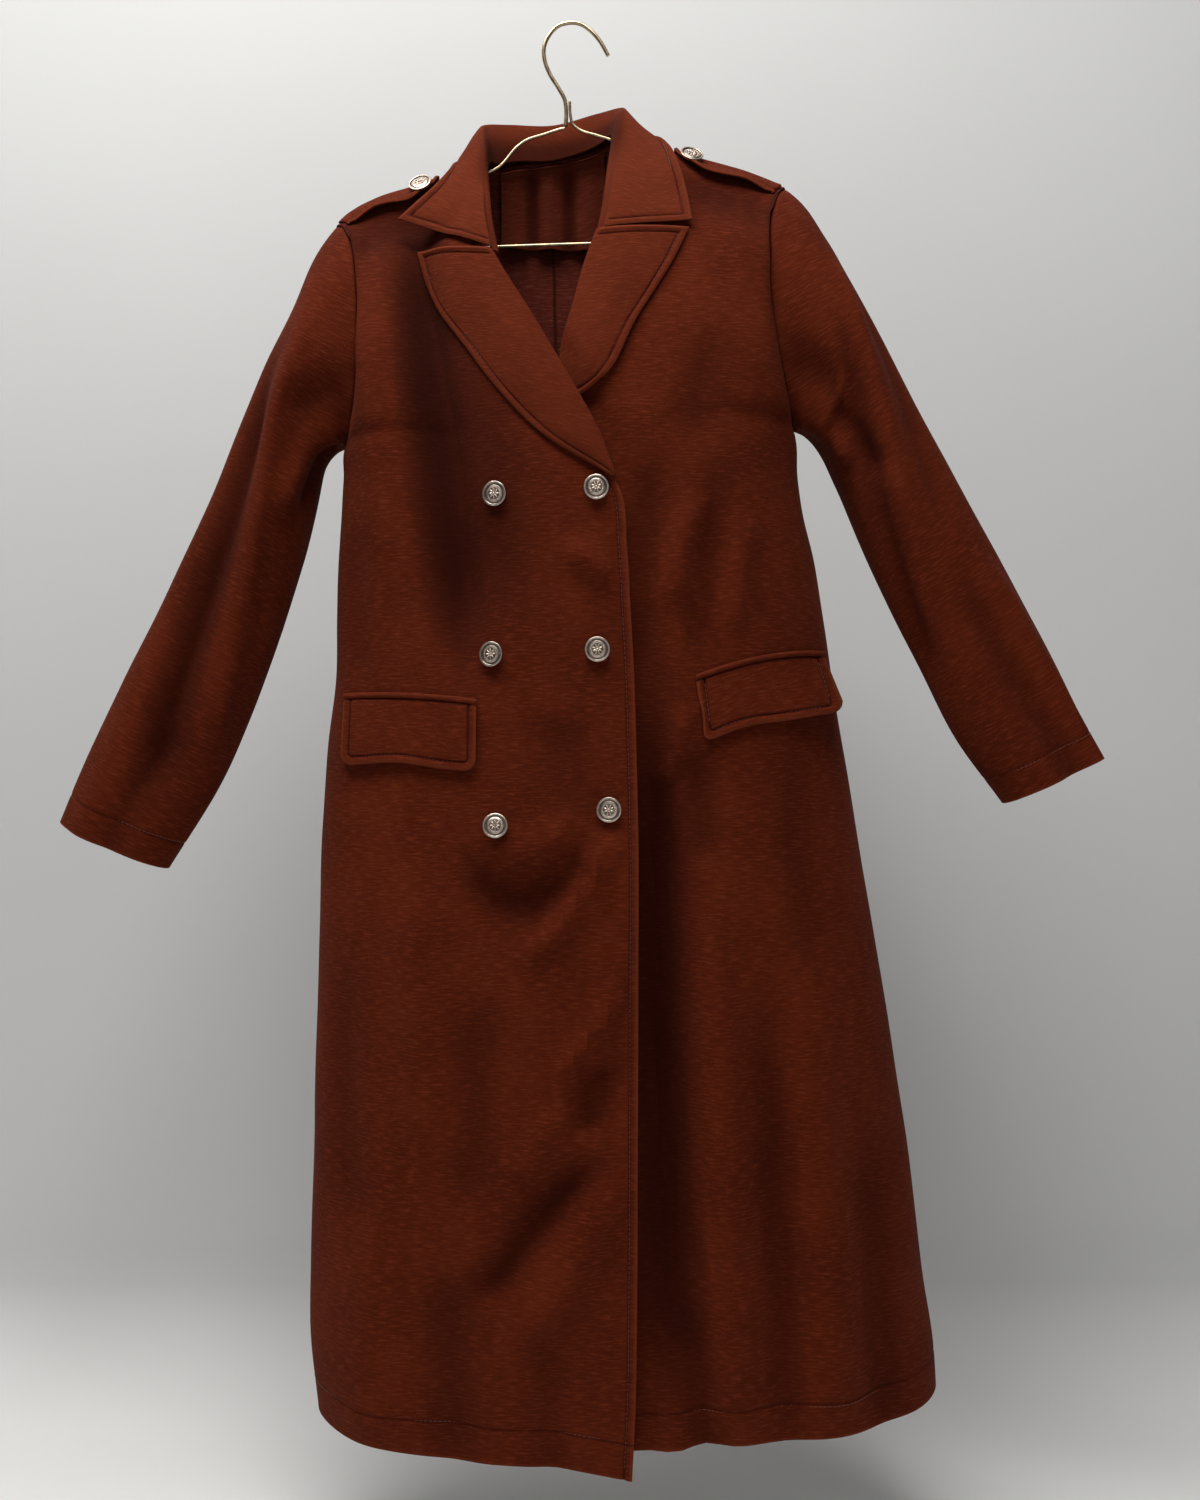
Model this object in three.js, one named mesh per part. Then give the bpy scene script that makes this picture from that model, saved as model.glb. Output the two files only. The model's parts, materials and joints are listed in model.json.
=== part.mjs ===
// A long double-breasted coat on a bent-wire hanger.
// Millimetres, +Z up. The coat faces -Y. The wearer's right is at -X.
// The origin is where the hook rests on a rail: the inside top of its bend.
import * as THREE from 'three';

// Cloth and seams
const CLOTH = 2.0;
const COLLAR_CLOTH = 2.6;
const FLAP_CLOTH = 2.4;
const FACING_CLOTH = 1.5;
const GAP = 0.3;
const SEAM = GAP / 2;
const ROUND = 2.5;

// Buttons
const BUTTON_RADIUS = 11;
const BUTTON_SIDES = 14;

// Hanger wire
const WIRE = 4.0;
const BAR_WIRE = 3.2;

const WIRE_SIDES = 8;

const RUST = { color: new THREE.Color('#7d3c27'), metalness: 0, roughness: 0.95 };
const NICKEL = { color: new THREE.Color('#c4beb2'), metalness: 0.9, roughness: 0.35 };
const GOLD = { color: new THREE.Color('#c9a066'), metalness: 0.9, roughness: 0.35 };

// A list of count things, made one by one
function series(count, make) {
  return Array.from({ length: count }, (_, i) => make(i));
}

// A table has named columns. Its first column is the one that the others are read along.
function table(columns, rows) {
  return rows.map((row) => Object.fromEntries(columns.map((name, i) => [name, row[i]])));
}

// A smooth curve through one column of a table, straight past its two ends.
function curve(rows, along, name) {
  const s = rows.map((row) => row[along]);
  const y = rows.map((row) => row[name]);
  const rising = s[s.length - 1] > s[0];
  const last = s.length - 1;
  const slope = (i) => (y[i + 1] - y[i]) / (s[i + 1] - s[i]);
  const tangent = (i) => {
    if (i === 0) return slope(0);
    if (i === last) return slope(last - 1);
    const before = s[i] - s[i - 1];
    const after = s[i + 1] - s[i];
    return (slope(i) * before + slope(i - 1) * after) / (before + after);
  };
  const tangents = s.map((_, i) => tangent(i));
  return (at) => {
    let i = 0;
    while (i < last - 1 && (rising ? at > s[i + 1] : at < s[i + 1])) i += 1;
    const h = s[i + 1] - s[i];
    const f = (at - s[i]) / h;
    if (f < 0) return y[0] + tangents[0] * (at - s[0]);
    if (f > 1) return y[last] + tangents[last] * (at - s[last]);
    const g = 1 - f;
    return y[i] * g * g * (1 + 2 * f) + y[i + 1] * f * f * (3 - 2 * f)
      + h * (tangents[i] * f * g * g - tangents[i + 1] * f * f * g);
  };
}

function reader(rows, along) {
  const names = Object.keys(rows[0]).filter((name) => name !== along);
  const curves = names.map((name) => curve(rows, along, name));
  return (at) => Object.fromEntries(names.map((name, i) => [name, curves[i](at)]));
}

function mix(a, b, f) {
  return a + (b - a) * f;
}

function ease(low, high, value) {
  const f = Math.min(1, Math.max(0, (value - low) / (high - low)));
  return f * f * (3 - 2 * f);
}

// Shoulder line and neckline, from the wearer's right shoulder tip to the left one
const SHOULDER = table(['x', 'z'], [
  [-221, -190], [-210, -180], [-185, -167], [-140, -151], [-82, -132], [-50, -119],
  [-20, -114], [10, -109], [41, -105], [90, -119], [150, -137], [199, -153],
]);
const shoulderAt = curve(SHOULDER, 'x', 'z');

// Neck hole: how far the back neckline lies behind the shoulder line
const NECK_X = -20;
const NECK_HALF_WIDTH = 61;
const NECK_DEPTH = 36;
const NECK_FADE = 90;

// Sections of the body below the armholes, each an oval that narrows to its side seams.
// right and left are the side seams, front and back the depths of the oval,
// edge is the upper front's edge, under the lower front's, seam the centre back's.
const BODY = table(['level', 'right', 'left', 'front', 'back', 'edge', 'under', 'seam'], [
  [-431, -212, 211, 113, 100, 30, -72, -8],
  [-452, -213.5, 213.5, 114, 100, 42.5, -90, -6],
  [-507, -217.5, 225.5, 113, 99, 50, -104, 0],
  [-560, -218.5, 234, 112, 99, 53, -105, 6],
  [-614, -219.5, 242, 112, 100, 56, -106, 10],
  [-681, -227.5, 253, 113, 103, 58, -107, 13],
  [-748, -231.5, 264, 115, 106, 59.5, -107, 16],
  [-898, -236.5, 289.5, 118, 110, 59.5, -107, 26],
  [-1057, -240.5, 314, 119, 113, 59, -107, 37],
  [-1158, -243, 326, 119, 114, 58.5, -105, 42],
  [-1245, -242.5, 336, 119, 115, 57, -103, 47],
  [-1300, -236.5, 339, 118, 115, 54, -100, 51],
]);

// Sections from the shoulder line to the armhole's foot, one table for each side.
// share is how much of the shoulder's slope a level keeps, inner the roll line,
// outer the armhole, edge the depth there, front and back the full depths,
// peak the fullest place and reach how far the section runs from it to the neck.
const CHEST_COLUMNS = ['level', 'share', 'inner', 'outer', 'edge', 'front', 'back', 'peak', 'reach', 'seam'];
const CHEST_RIGHT = table(CHEST_COLUMNS, [
  [-158, 1, -86, -221, 0, 0, 0, -140, 120, -20],
  [-163, 0.98, -86, -218, 10, 13, 12, -140, 120, -20],
  [-170, 0.95, -86, -214, 18, 21, 19, -140, 120, -20],
  [-190, 0.88, -85, -206, 32, 38, 34, -140, 110, -20],
  [-215, 0.75, -84, -200, 44, 54, 48, -138, 104, -20],
  [-250, 0.55, -77, -195, 52, 70, 64, -130, 112, -19],
  [-290, 0.35, -51, -193, 56, 84, 78, -115, 130, -18],
  [-330, 0.2, -24, -194, 54, 96, 88, -92, 152, -16],
  [-370, 0.08, -2, -199, 41, 104, 95, -60, 175, -13],
  [-390, 0.03, 8, -205, 24, 107, 98, -38, 192, -11],
  [-399, 0, 13, -210, 0, 109, 99, -28, 198, -10],
]);
const CHEST_LEFT = table(CHEST_COLUMNS, [
  [-136, 1, 45, 199, 0, 0, 0, 110, 115, -20],
  [-141, 0.98, 45, 197, 10, 13, 12, 110, 115, -20],
  [-148, 0.95, 44, 193, 18, 21, 19, 110, 115, -20],
  [-168, 0.88, 42, 186, 32, 38, 34, 110, 110, -20],
  [-193, 0.75, 38, 182, 44, 54, 48, 106, 106, -20],
  [-228, 0.55, 30, 181, 52, 70, 64, 100, 112, -19],
  [-268, 0.35, 15, 181, 56, 84, 78, 90, 130, -18],
  [-310, 0.2, 3, 187, 54, 96, 88, 74, 152, -16],
  [-352, 0.08, -5, 196, 41, 104, 95, 50, 175, -13],
  [-373, 0.03, -8, 202, 24, 107, 98, 34, 192, -11],
  [-382, 0, -14, 206, 0, 109, 99, 26, 198, -10],
]);

// How far the hem hangs above or below its level
const HEM_LEVEL = -1300;
const HEM_FADE = -1150;
const HEM_FRONT_RIGHT = table(['x', 'rise'], [[-237, 7], [-100, 0], [0, -3], [54, -13]]);
const HEM_FRONT_LEFT = table(['x', 'rise'], [[-100, 0], [60, 6], [150, 14], [300, 13], [339, 21]]);
const HEM_BACK = table(['x', 'rise'], [[-237, 7], [-120, 11], [50, 13], [220, 14], [339, 21]]);

// Folds. One that runs down goes from level start to level end, at first to last across.
// One that runs across goes from x start to x end, at first to last in height.
// bow moves its middle, wide is its half width, high its height, below 0 for a trough.
// A fold rises over its first part and dies away over its last one.
const FOLD_RISEN = 0.3;
const FOLD_FALLING = 0.75;
const FOLD_COLUMNS = ['start', 'end', 'first', 'last', 'bow', 'wide', 'high', 'across'];
const FOLDS_FRONT_RIGHT = table(FOLD_COLUMNS, [
  [-240, -610, -143, -95, -6, 16, -9, false],
  [-300, -560, -178, -160, 0, 19, 5, false],
  [-8, 41, -499, -540, 4, 9, 5, true],
  [-95, 25, -766, -746, -58, 13, -8, true],
  [-90, 15, -745, -730, -44, 12, 4, true],
  [-755, -855, 39, -26, 0, 10, 5, false],
  [-12, 50, -962, -884, -4, 11, 6, true],
  [-951, -1015, 31, 16, 0, 10, -6, false],
  [-990, -1050, -6, -36, 0, 10, 5, false],
  [-1030, -1165, 26, -78, -6, 14, -8, false],
  [-1056, -1185, 38, -26, 0, 12, 6, false],
  [-768, -1060, -138, -122, 0, 22, 6, false],
  [-1080, -1330, -170, -178, 0, 26, 7, false],
  [-1120, -1330, -110, -100, 0, 22, -6, false],
]);
const FOLDS_FRONT_LEFT = table(FOLD_COLUMNS, [
  [-700, -1240, 76, 88, 0, 20, -23, false],
  [-1150, -1330, 104, 124, 0, 16, -9, false],
  [-634, -720, 106, 76, 0, 10, 5, false],
  [-674, -790, 114, 120, 0, 11, -6, false],
  [-770, -1330, 122, 152, -4, 17, 9, false],
  [-860, -1330, 172, 196, 0, 17, -7, false],
  [-880, -1330, 206, 240, 0, 22, 8, false],
  [-1000, -1330, 268, 288, 0, 20, -6, false],
  [-446, -570, 113, 78, 0, 12, 4, false],
  [-464, -590, 157, 139, 0, 12, 4, false],
]);
const FOLDS_BACK = table(FOLD_COLUMNS, [
  [-260, -620, -140, -112, 6, 18, -8, false],
  [-300, -600, -176, -166, 0, 18, 5, false],
  [-250, -600, 126, 130, -6, 18, -7, false],
  [-420, -800, -60, -40, 0, 24, 5, false],
  [-560, -1000, 96, 110, 0, 20, 6, false],
  [-700, -1330, -150, -168, 0, 26, 8, false],
  [-780, -1330, -92, -92, 0, 22, -8, false],
  [-860, -1330, -30, -14, 0, 24, 7, false],
  [-820, -1330, 118, 140, 0, 24, -8, false],
  [-760, -1330, 176, 204, 0, 26, 9, false],
  [-960, -1330, 236, 262, 0, 20, -7, false],
]);

function foldHeight(folds, x, z) {
  return folds.reduce((sum, fold) => {
    const along = fold.across ? x : z;
    const beside = fold.across ? z : x;
    const f = (along - fold.start) / (fold.end - fold.start);
    if (f <= 0 || f >= 1) return sum;
    const path = mix(fold.first, fold.last, f) + fold.bow * 4 * f * (1 - f);
    const off = (beside - path) / fold.wide;
    return sum + fold.high * Math.exp(-off * off) * ease(0, FOLD_RISEN, f) * ease(1, FOLD_FALLING, f);
  }, 0);
}

// How finely each piece is divided
const PANEL_COLUMNS = 13;
const SKIRT_LEVELS = [
  -415, -431, -452, -480, -507, -535, -560, -588, -614, -648, -681, -715, -748, -790, -830,
  -870, -910, -950, -1000, -1057, -1110, -1158, -1205, -1250, -1300,
];
const SLEEVE_RINGS = 15;
const COLLAR_STATIONS = 27;
const COLLAR_COLUMNS = 10;
const LAPEL_ROWS = 13;
const LAPEL_LEAF_STEPS = 5;
const FLAP_COLUMNS = 11;
const FLAP_ROWS = 5;
const EPAULETTE_STEPS = 9;
const FACING_ROWS = 5;
const FACING_COLUMNS = 11;
const HOOK_STEPS = 34;
const FRAME_STEPS = 60;

// How the places on a panel are found: the step of the probe that finds which way the cloth
// faces, and how often the search for a level halves its range, which ends below the hem
const PROBE = 3;
const HALVINGS = 24;
const HEM_ROOM = 60;

// A back runs wider than its front at the neck, and folds die away close to a side seam
const BACK_REACH = 1.3;
const FOLD_SIDE = 0.93;

// The lower front behind the upper one. It goes under between two distances from the upper
// front's edge and between two levels, and its own edge is tucked in further.
const TUCK_RUN = 40;
const TUCK_IN = 8;
const TUCK_START = -285;
const TUCK_FULL = -328;
const TUCK_EDGE = 8;
const TUCK_EDGE_START = -55;
const TUCK_EDGE_FULL = -85;
const FIRST_LEVEL_OF_EDGE = 5;
const TUCK = table(['z', 'room'], [
  [-300, 9], [-420, 9], [-500, 6.5], [-700, 8], [-790, 13], [-1000, 14], [-1310, 12],
]);

// Sleeves along the arm, from armhole to cuff: the outer and inner edge of each oval,
// half its depth, how far forward it hangs, and how much it has left the armhole's shape
const SLEEVE_COLUMNS = ['along', 'outerX', 'outerZ', 'innerX', 'innerZ', 'depth', 'forward', 'blend'];
const SLEEVE_RIGHT = table(SLEEVE_COLUMNS, [
  [0, -225, -195, -213, -399, 60, 0, 0],
  [0.07, -250, -236, -219, -401, 60, 0, 0.6],
  [0.14, -262, -271, -226, -405, 60, 0, 0.92],
  [0.21, -285, -317, -234, -418, 58, -2, 1],
  [0.29, -308, -370, -241, -447, 55, -4, 1],
  [0.38, -331, -427, -250, -484, 53, -6, 1],
  [0.47, -352, -473, -258, -513, 51, -8, 1],
  [0.58, -382.5, -540.5, -281, -588, 48, -10, 1],
  [0.72, -420, -616, -308, -660, 45, -13, 1],
  [0.86, -447, -673, -333, -718, 42, -16, 1],
  [1, -477.5, -747, -378, -791.5, 40, -18, 1],
]);
const SLEEVE_LEFT = table(SLEEVE_COLUMNS, [
  [0, 203, -158, 209, -382, 60, 0, 0],
  [0.07, 226, -179, 215, -384, 60, 0, 0.6],
  [0.14, 240, -207, 221, -387, 60, 0, 0.92],
  [0.21, 263, -243, 229, -396, 58, -2, 1],
  [0.29, 284, -281, 238, -410, 55, -4, 1],
  [0.38, 313, -338, 247, -428, 53, -6, 1],
  [0.47, 340, -390, 257, -449, 51, -8, 1],
  [0.58, 381.5, -465, 286, -517, 48, -10, 1],
  [0.72, 421, -540.5, 322, -593, 45, -13, 1],
  [0.86, 459.5, -616, 359, -667, 42, -16, 1],
  [1, 494.5, -687, 404, -731, 40, -18, 1],
]);

// Creases of the sleeves. start and end lie along the arm, first and last are degrees
// round it: 0 is the outer edge, 90 the front, 180 the inner edge, 270 the back.
const CREASE_RISEN = 0.25;
const CREASE_FALLING = 0.8;
const CREASE_COLUMNS = ['start', 'end', 'first', 'last', 'wide', 'high'];
const CREASES_RIGHT = table(CREASE_COLUMNS, [
  [0.08, 0.75, 72, 108, 14, 5],
  [0.12, 0.8, 46, 76, 17, -8],
  [0.16, 0.45, 120, 150, 14, -6],
  [0.1, 0.7, 285, 262, 18, -6],
]);
const CREASES_LEFT = table(CREASE_COLUMNS, [
  [0.1, 0.75, 42, 112, 14, 5],
  [0.14, 0.7, 74, 134, 16, -8],
  [0.6, 1.05, 40, 62, 15, 5],
  [0.1, 0.7, 285, 262, 18, -6],
]);

// Collar, from its right front end round the neck to its left one: the foot of the stand,
// the top of the roll and the outer edge of the fall
const COLLAR_ROLL = 7;
const COLLAR_CLEAR = 4.6;
// Between them: how far along a place lies, and how far out of the straight line, in rolls
const COLLAR_INSIDE = { share: 0.25, out: -0.4 };
const COLLAR_OUTSIDE = { share: 0.16, out: 0.5 };
const COLLAR_FALL = { share: 0.58, out: 0.3 };
const COLLAR_FIRST_FALL = 4;
const COLLAR = table([
  'along', 'baseX', 'baseY', 'baseZ', 'rollX', 'rollY', 'rollZ', 'edgeX', 'edgeY', 'edgeZ',
], [
  [0, -68, -50, -224, -67, -62, -226, -157, -51, -199],
  [1, -73, -42, -199, -74, -55, -201, -143, -46, -184],
  [2, -76, -30, -170, -78, -41, -167, -127, -35, -165],
  [3, -78, -15, -144, -82, -23, -126, -115, -16, -144],
  [4, -76, -2, -126, -85, -6, -101, -111, 2, -133],
  [5, -70, 12, -122, -82, 14, -88, -104, 28, -135],
  [6, -52, 27, -114, -60, 34, -80, -75, 55, -137],
  [7, -20, 34, -110, -18, 42, -78, -18, 66, -138],
  [8, 12, 27, -103, 24, 34, -70, 44, 55, -126],
  [9, 30, 12, -100, 46, 14, -72, 70, 28, -114],
  [10, 36, -2, -101, 47, -6, -84, 81, 2, -107],
  [11, 36, -15, -120, 43, -25, -112, 92, -18, -121],
  [12, 33, -30, -150, 37, -43, -148, 100, -44, -152],
  [13, 29, -42, -180, 33, -55, -180, 105, -58, -178],
  [14, 24, -48, -205, 27, -61, -208, 109, -71, -206],
]);

// Lapels along the roll line: the roll, the outer edge, how high the edge lies and
// how much the leaf stands up between them
const LAPEL_CLOTH = 2.2;
const LAPEL_ROLL = 3.2;
const LAPEL_RISE = 1.3;
const LAPEL_PUFF = 4;
const LAPEL_BEND = [-45, 0, 45, 90];
const LAPEL_TABLE_COLUMNS = ['along', 'rollX', 'rollZ', 'edgeX', 'edgeZ', 'lie', 'puff'];
const LAPEL_RIGHT = table(LAPEL_TABLE_COLUMNS, [
  [0, -70, -233, -142, -229, 3.4, 0.6],
  [0.15, -56, -258, -131, -257, 3.2, 1],
  [0.32, -37, -290, -115, -290, 3.2, 1.2],
  [0.5, -15, -328, -92, -325, 3, 1.2],
  [0.68, 6, -366, -60, -368, 3, 1],
  [0.84, 25, -403, -22, -408, 3, 0.7],
  [1, 41, -444, 33, -442, 3.4, 0],
]);
const LAPEL_LEFT = table(LAPEL_TABLE_COLUMNS, [
  [0, 23, -216, 106, -214, 3.4, 0.6],
  [0.2, 12, -250, 92, -245, 3.2, 1],
  [0.4, 4, -282, 75, -275, 3.2, 1],
  [0.58, -4, -312, 56, -308, 5.4, 0.8],
  [0.75, -10, -338, 38, -347, 7, 0.7],
  [1, -15, -360, 3, -376, 6.1, 0.2],
]);

// Pockets: the line of the welt, then the flap's height, slant and loose end. The flap is
// less high by a share of it at its corners, which begin at a distance from its middle.
const CORNER = 0.16;
const CORNER_FROM = 0.4;
const SQUARE = 0;
const WELT_CLOTH = 3;
const WELT_HEIGHT = 5;
const FLAP_STAND = 2.5;
const POCKET_RIGHT = {
  startX: -203, endX: -81, startZ: -631, endZ: -637.5, bow: 3, height: 58, corner: CORNER, slant: 0, flare: 0,
};
const POCKET_LEFT = {
  startX: 110, endX: 228, startZ: -616, endZ: -592, bow: 6, height: 54, corner: CORNER, slant: 6, flare: 9,
};

// Epaulettes along the shoulder, from the armhole to the buttoned tab
const STRAP_INSET = 3;
const EPAULETTE_DROPS = [0, 3, 7, 12, 19];
const EPAULETTE_RIGHT = table(['along', 'x', 'width', 'rise'], [
  [0, -218, 1, 0], [0.4, -186, 1, 1.5], [0.85, -139, 0.95, 0.5], [0.95, -129, 0.7, 1], [1, -124, 0.35, 1.5],
]);
const EPAULETTE_LEFT = table(['along', 'x', 'width', 'rise'], [
  [0, 197, 1, 0], [0.4, 165, 1, 1.5], [0.85, 110, 0.95, 0.5], [0.95, 100, 0.7, 1.5], [1, 95, 0.35, 2],
]);

// Facing inside the back of the neck
const FACING = { right: -60, left: 20, below: 3.5, bottom: -206, clear: 2.2 };

// Buttons of the front by their centres, and the turned profile of one
const BUTTON_PROFILE = table(['radius', 'height'], [
  [0, 0], [0.22, 0], [0.22, 2], [0.8, 2.3], [1, 3.4], [1, 4.4], [0.9, 5.2], [0.8, 4.9], [0.72, 4.4],
  [0.66, 5], [0.36, 6.1], [0, 6.4],
]);
const BUTTONS = table(['name', 'x', 'z', 'seat'], [
  ['top_right', -68, -457, 0],
  ['top_left', 23, -453.5, 0],
  ['middle_right', -68, -598, 0.1],
  ['middle_left', 24, -594, 0.1],
  ['bottom_right', -64, -748, 0.4],
  ['bottom_left', 35, -733.5, 0.8],
]);
const STRAP_BUTTONS = [
  { name: 'strap_right', x: -139, drop: 9, side: -1, seat: 0.6 },
  { name: 'strap_left', x: 110, drop: 9, side: 1, seat: 0.65 },
];

// Hanger: the hook down to the neck, then one wire round the arms and the bar
const HOOK = table(['x', 'y', 'z'], [
  [34, 0, -29], [26, 0, -15], [17, 0, -5], [7, 0, 1.2], [-3, 0, 2], [-13, 0, -1], [-21, 0, -9], [-26, 0, -20],
  [-26, 0, -32], [-21, 0, -46], [-13, 0, -59], [-7, 0, -70], [-5.5, 0, -82], [-6, 0, -95],
]);
const FRAME = table(['x', 'y', 'z'], [
  [-2.1, 0, -72], [-1.6, 0, -84], [0.6, 0, -93], [8, 0, -99], [22, 0, -103.5], [44, 0, -110], [90, 0, -123.5],
  [140, 0, -138.5], [172, 0, -150], [184, 0, -160], [185, 0, -178], [178, 0, -194], [160, 0, -200.5],
  [60, 0, -204], [-60, 0, -208], [-170, 0, -213], [-186, 0, -211], [-194, 0, -201], [-195, 0, -190],
  [-188, 0, -178], [-165, 0, -165.5], [-130, 0, -154], [-84, 0, -140.5], [-68, 0, -133], [-52, 0, -115],
  [-42, 0, -108], [-25, 0, -102.5], [-12, 0, -98.2], [-7, 0, -97.2],
]);

// One panel of the body. point gives a place on its outside from x and a level.
function makePanel({ side, facing, chest, inner, hem, folds, settle }) {
  const depth = facing < 0 ? 'front' : 'back';
  const upper = chest.map((row) => ({
    level: row.level,
    share: row.share,
    inner: inner === 'seam' ? row.seam + side * SEAM : row.inner,
    outer: row.outer,
    edge: row.edge,
    full: row[depth],
    peak: row.peak,
    reach: Math.max(row.reach, facing > 0 ? Math.abs(row.peak - row.seam) * BACK_REACH : 0),
  }));
  const lower = BODY.map((row) => ({
    level: row.level,
    share: 0,
    inner: inner === 'seam' ? row.seam + side * SEAM : row[inner],
    outer: side < 0 ? row.right : row.left,
    edge: 0,
    full: row[depth],
    peak: (row.right + row.left) / 2,
    reach: (row.left - row.right) / 2,
  }));
  const rows = [...upper, ...lower];
  const read = reader(rows, 'level');
  const top = rows[0].level;
  const hemAt = curve(hem, 'x', 'rise');

  function height(x, level, share) {
    const hang = ease(HEM_FADE, HEM_LEVEL, level) * hemAt(x);
    return level + Math.max(0, share) * (shoulderAt(x) - top) + hang;
  }

  function point(x, level) {
    const row = read(level);
    const beyond = (x - row.peak) * side;
    const wide = beyond > 0 ? (row.outer - row.peak) * side : row.reach;
    const t = Math.min(1, Math.abs(beyond) / wide);
    const bulge = (1 - t ** ROUND) ** (1 / ROUND);
    const turn = t ** (ROUND / 2);
    const z = height(x, level, row.share);
    const near = Math.abs(x - NECK_X) / NECK_HALF_WIDTH;
    const scoop = facing > 0 && near < 1
      ? NECK_DEPTH * Math.sqrt(1 - near * near) * Math.exp((level - top) / NECK_FADE) : 0;
    const fold = foldHeight(folds, x, z) * ease(1, FOLD_SIDE, t);
    const edge = Math.max(SEAM, row.edge);
    const out = edge + Math.max(0, row.full - edge) * bulge + scoop;
    const p = new THREE.Vector3(
      x + Math.sign(beyond) * side * turn * fold,
      facing * (out + Math.sqrt(Math.max(0, 1 - turn * turn)) * fold),
      z,
    );
    if (settle) settle(p);
    return p;
  }

  // The level at which the panel passes through height z at x
  function levelAt(x, z) {
    let high = top;
    let low = HEM_LEVEL - HEM_ROOM;
    for (let i = 0; i < HALVINGS; i += 1) {
      const middle = (high + low) / 2;
      if (height(x, middle, read(middle).share) > z) high = middle;
      else low = middle;
    }
    return (high + low) / 2;
  }

  function at(x, z) {
    return point(x, levelAt(x, z));
  }

  function outward(x, z) {
    const across = at(x + PROBE, z).sub(at(x - PROBE, z));
    const down = at(x, z - PROBE).sub(at(x, z + PROBE));
    const normal = across.cross(down).normalize();
    return normal.y * facing < 0 ? normal.negate() : normal;
  }

  function lifted(x, z, lift) {
    return at(x, z).addScaledVector(outward(x, z), lift);
  }

  // Points across one level, from the inner edge to the outer one
  function across(level, count) {
    const row = read(level);
    const start = (row.inner - row.peak) * side;
    const startWide = start > 0 ? (row.outer - row.peak) * side : row.reach;
    const share = Math.min(1, Math.abs(start) / startWide);
    const startTurn = Math.asin(Math.sign(start) * share ** (ROUND / 2));
    return series(count, (i) => {
      const angle = mix(startTurn, Math.PI / 2, i / (count - 1));
      const t = Math.abs(Math.sin(angle)) ** (2 / ROUND);
      const wide = angle > 0 ? (row.outer - row.peak) * side : row.reach;
      return point(row.peak + side * Math.sign(angle) * t * wide, level);
    });
  }

  const chestLevels = chest.map((row) => row.level);
  return { side, facing, read, point, at, lifted, outward, across, chestLevels };
}

const frontRight = makePanel({
  side: -1, facing: -1, chest: CHEST_RIGHT, inner: 'edge', hem: HEM_FRONT_RIGHT, folds: FOLDS_FRONT_RIGHT,
});

// Where the fronts overlap, the lower one lies behind the upper one
const upperEdgeAt = curve([
  ...CHEST_RIGHT.slice(FIRST_LEVEL_OF_EDGE).map((row) => ({ z: row.level, x: row.inner })),
  ...BODY.map((row) => ({ z: row.level, x: row.edge })),
], 'z', 'x');

const frontRightPlain = makePanel({
  side: -1, facing: -1, chest: CHEST_RIGHT, inner: 'edge', hem: HEM_FRONT_RIGHT, folds: [],
});
const tuckAt = curve(TUCK, 'z', 'room');

function tuckUnder(p) {
  const edge = upperEdgeAt(p.z);
  const under = ease(edge + TUCK_RUN, edge + TUCK_IN, p.x) * ease(TUCK_START, TUCK_FULL, p.z);
  if (under <= 0) return;
  const trough = Math.min(0, foldHeight(FOLDS_FRONT_LEFT, p.x, p.z));
  const further = TUCK_EDGE * ease(TUCK_EDGE_START, TUCK_EDGE_FULL, p.x);
  const behind = frontRightPlain.at(p.x, p.z).y + tuckAt(p.z) + further - trough;
  p.y = mix(p.y, behind, under);
}

const frontLeft = makePanel({
  side: 1, facing: -1, chest: CHEST_LEFT, inner: 'under', hem: HEM_FRONT_LEFT, folds: FOLDS_FRONT_LEFT,
  settle: tuckUnder,
});
const backRight = makePanel({
  side: -1, facing: 1, chest: CHEST_RIGHT, inner: 'seam', hem: HEM_BACK, folds: FOLDS_BACK,
});
const backLeft = makePanel({
  side: 1, facing: 1, chest: CHEST_LEFT, inner: 'seam', hem: HEM_BACK, folds: FOLDS_BACK,
});

// The ways out of a grid's points, from their neighbours. sign turns them all round.
function gridNormals(grid, closed, sign) {
  const rows = grid.length;
  const columns = grid[0].length;
  return grid.map((row, i) => row.map((_, j) => {
    const up = grid[Math.max(0, i - 1)][j];
    const down = grid[Math.min(rows - 1, i + 1)][j];
    const before = closed ? row[(j + columns - 1) % columns] : row[Math.max(0, j - 1)];
    const after = closed ? row[(j + 1) % columns] : row[Math.min(columns - 1, j + 1)];
    const across = after.clone().sub(before);
    return across.cross(down.clone().sub(up)).normalize().multiplyScalar(sign);
  }));
}

// A closed wall. The grid is its outside, and its inside lies a thickness behind.
// flat names the axis that a rim's faces must not lean along, so that two rims can meet.
// At the top this holds only for points on the shoulder's ridge if that axis is y.
const ON_RIDGE = 1;

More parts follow.
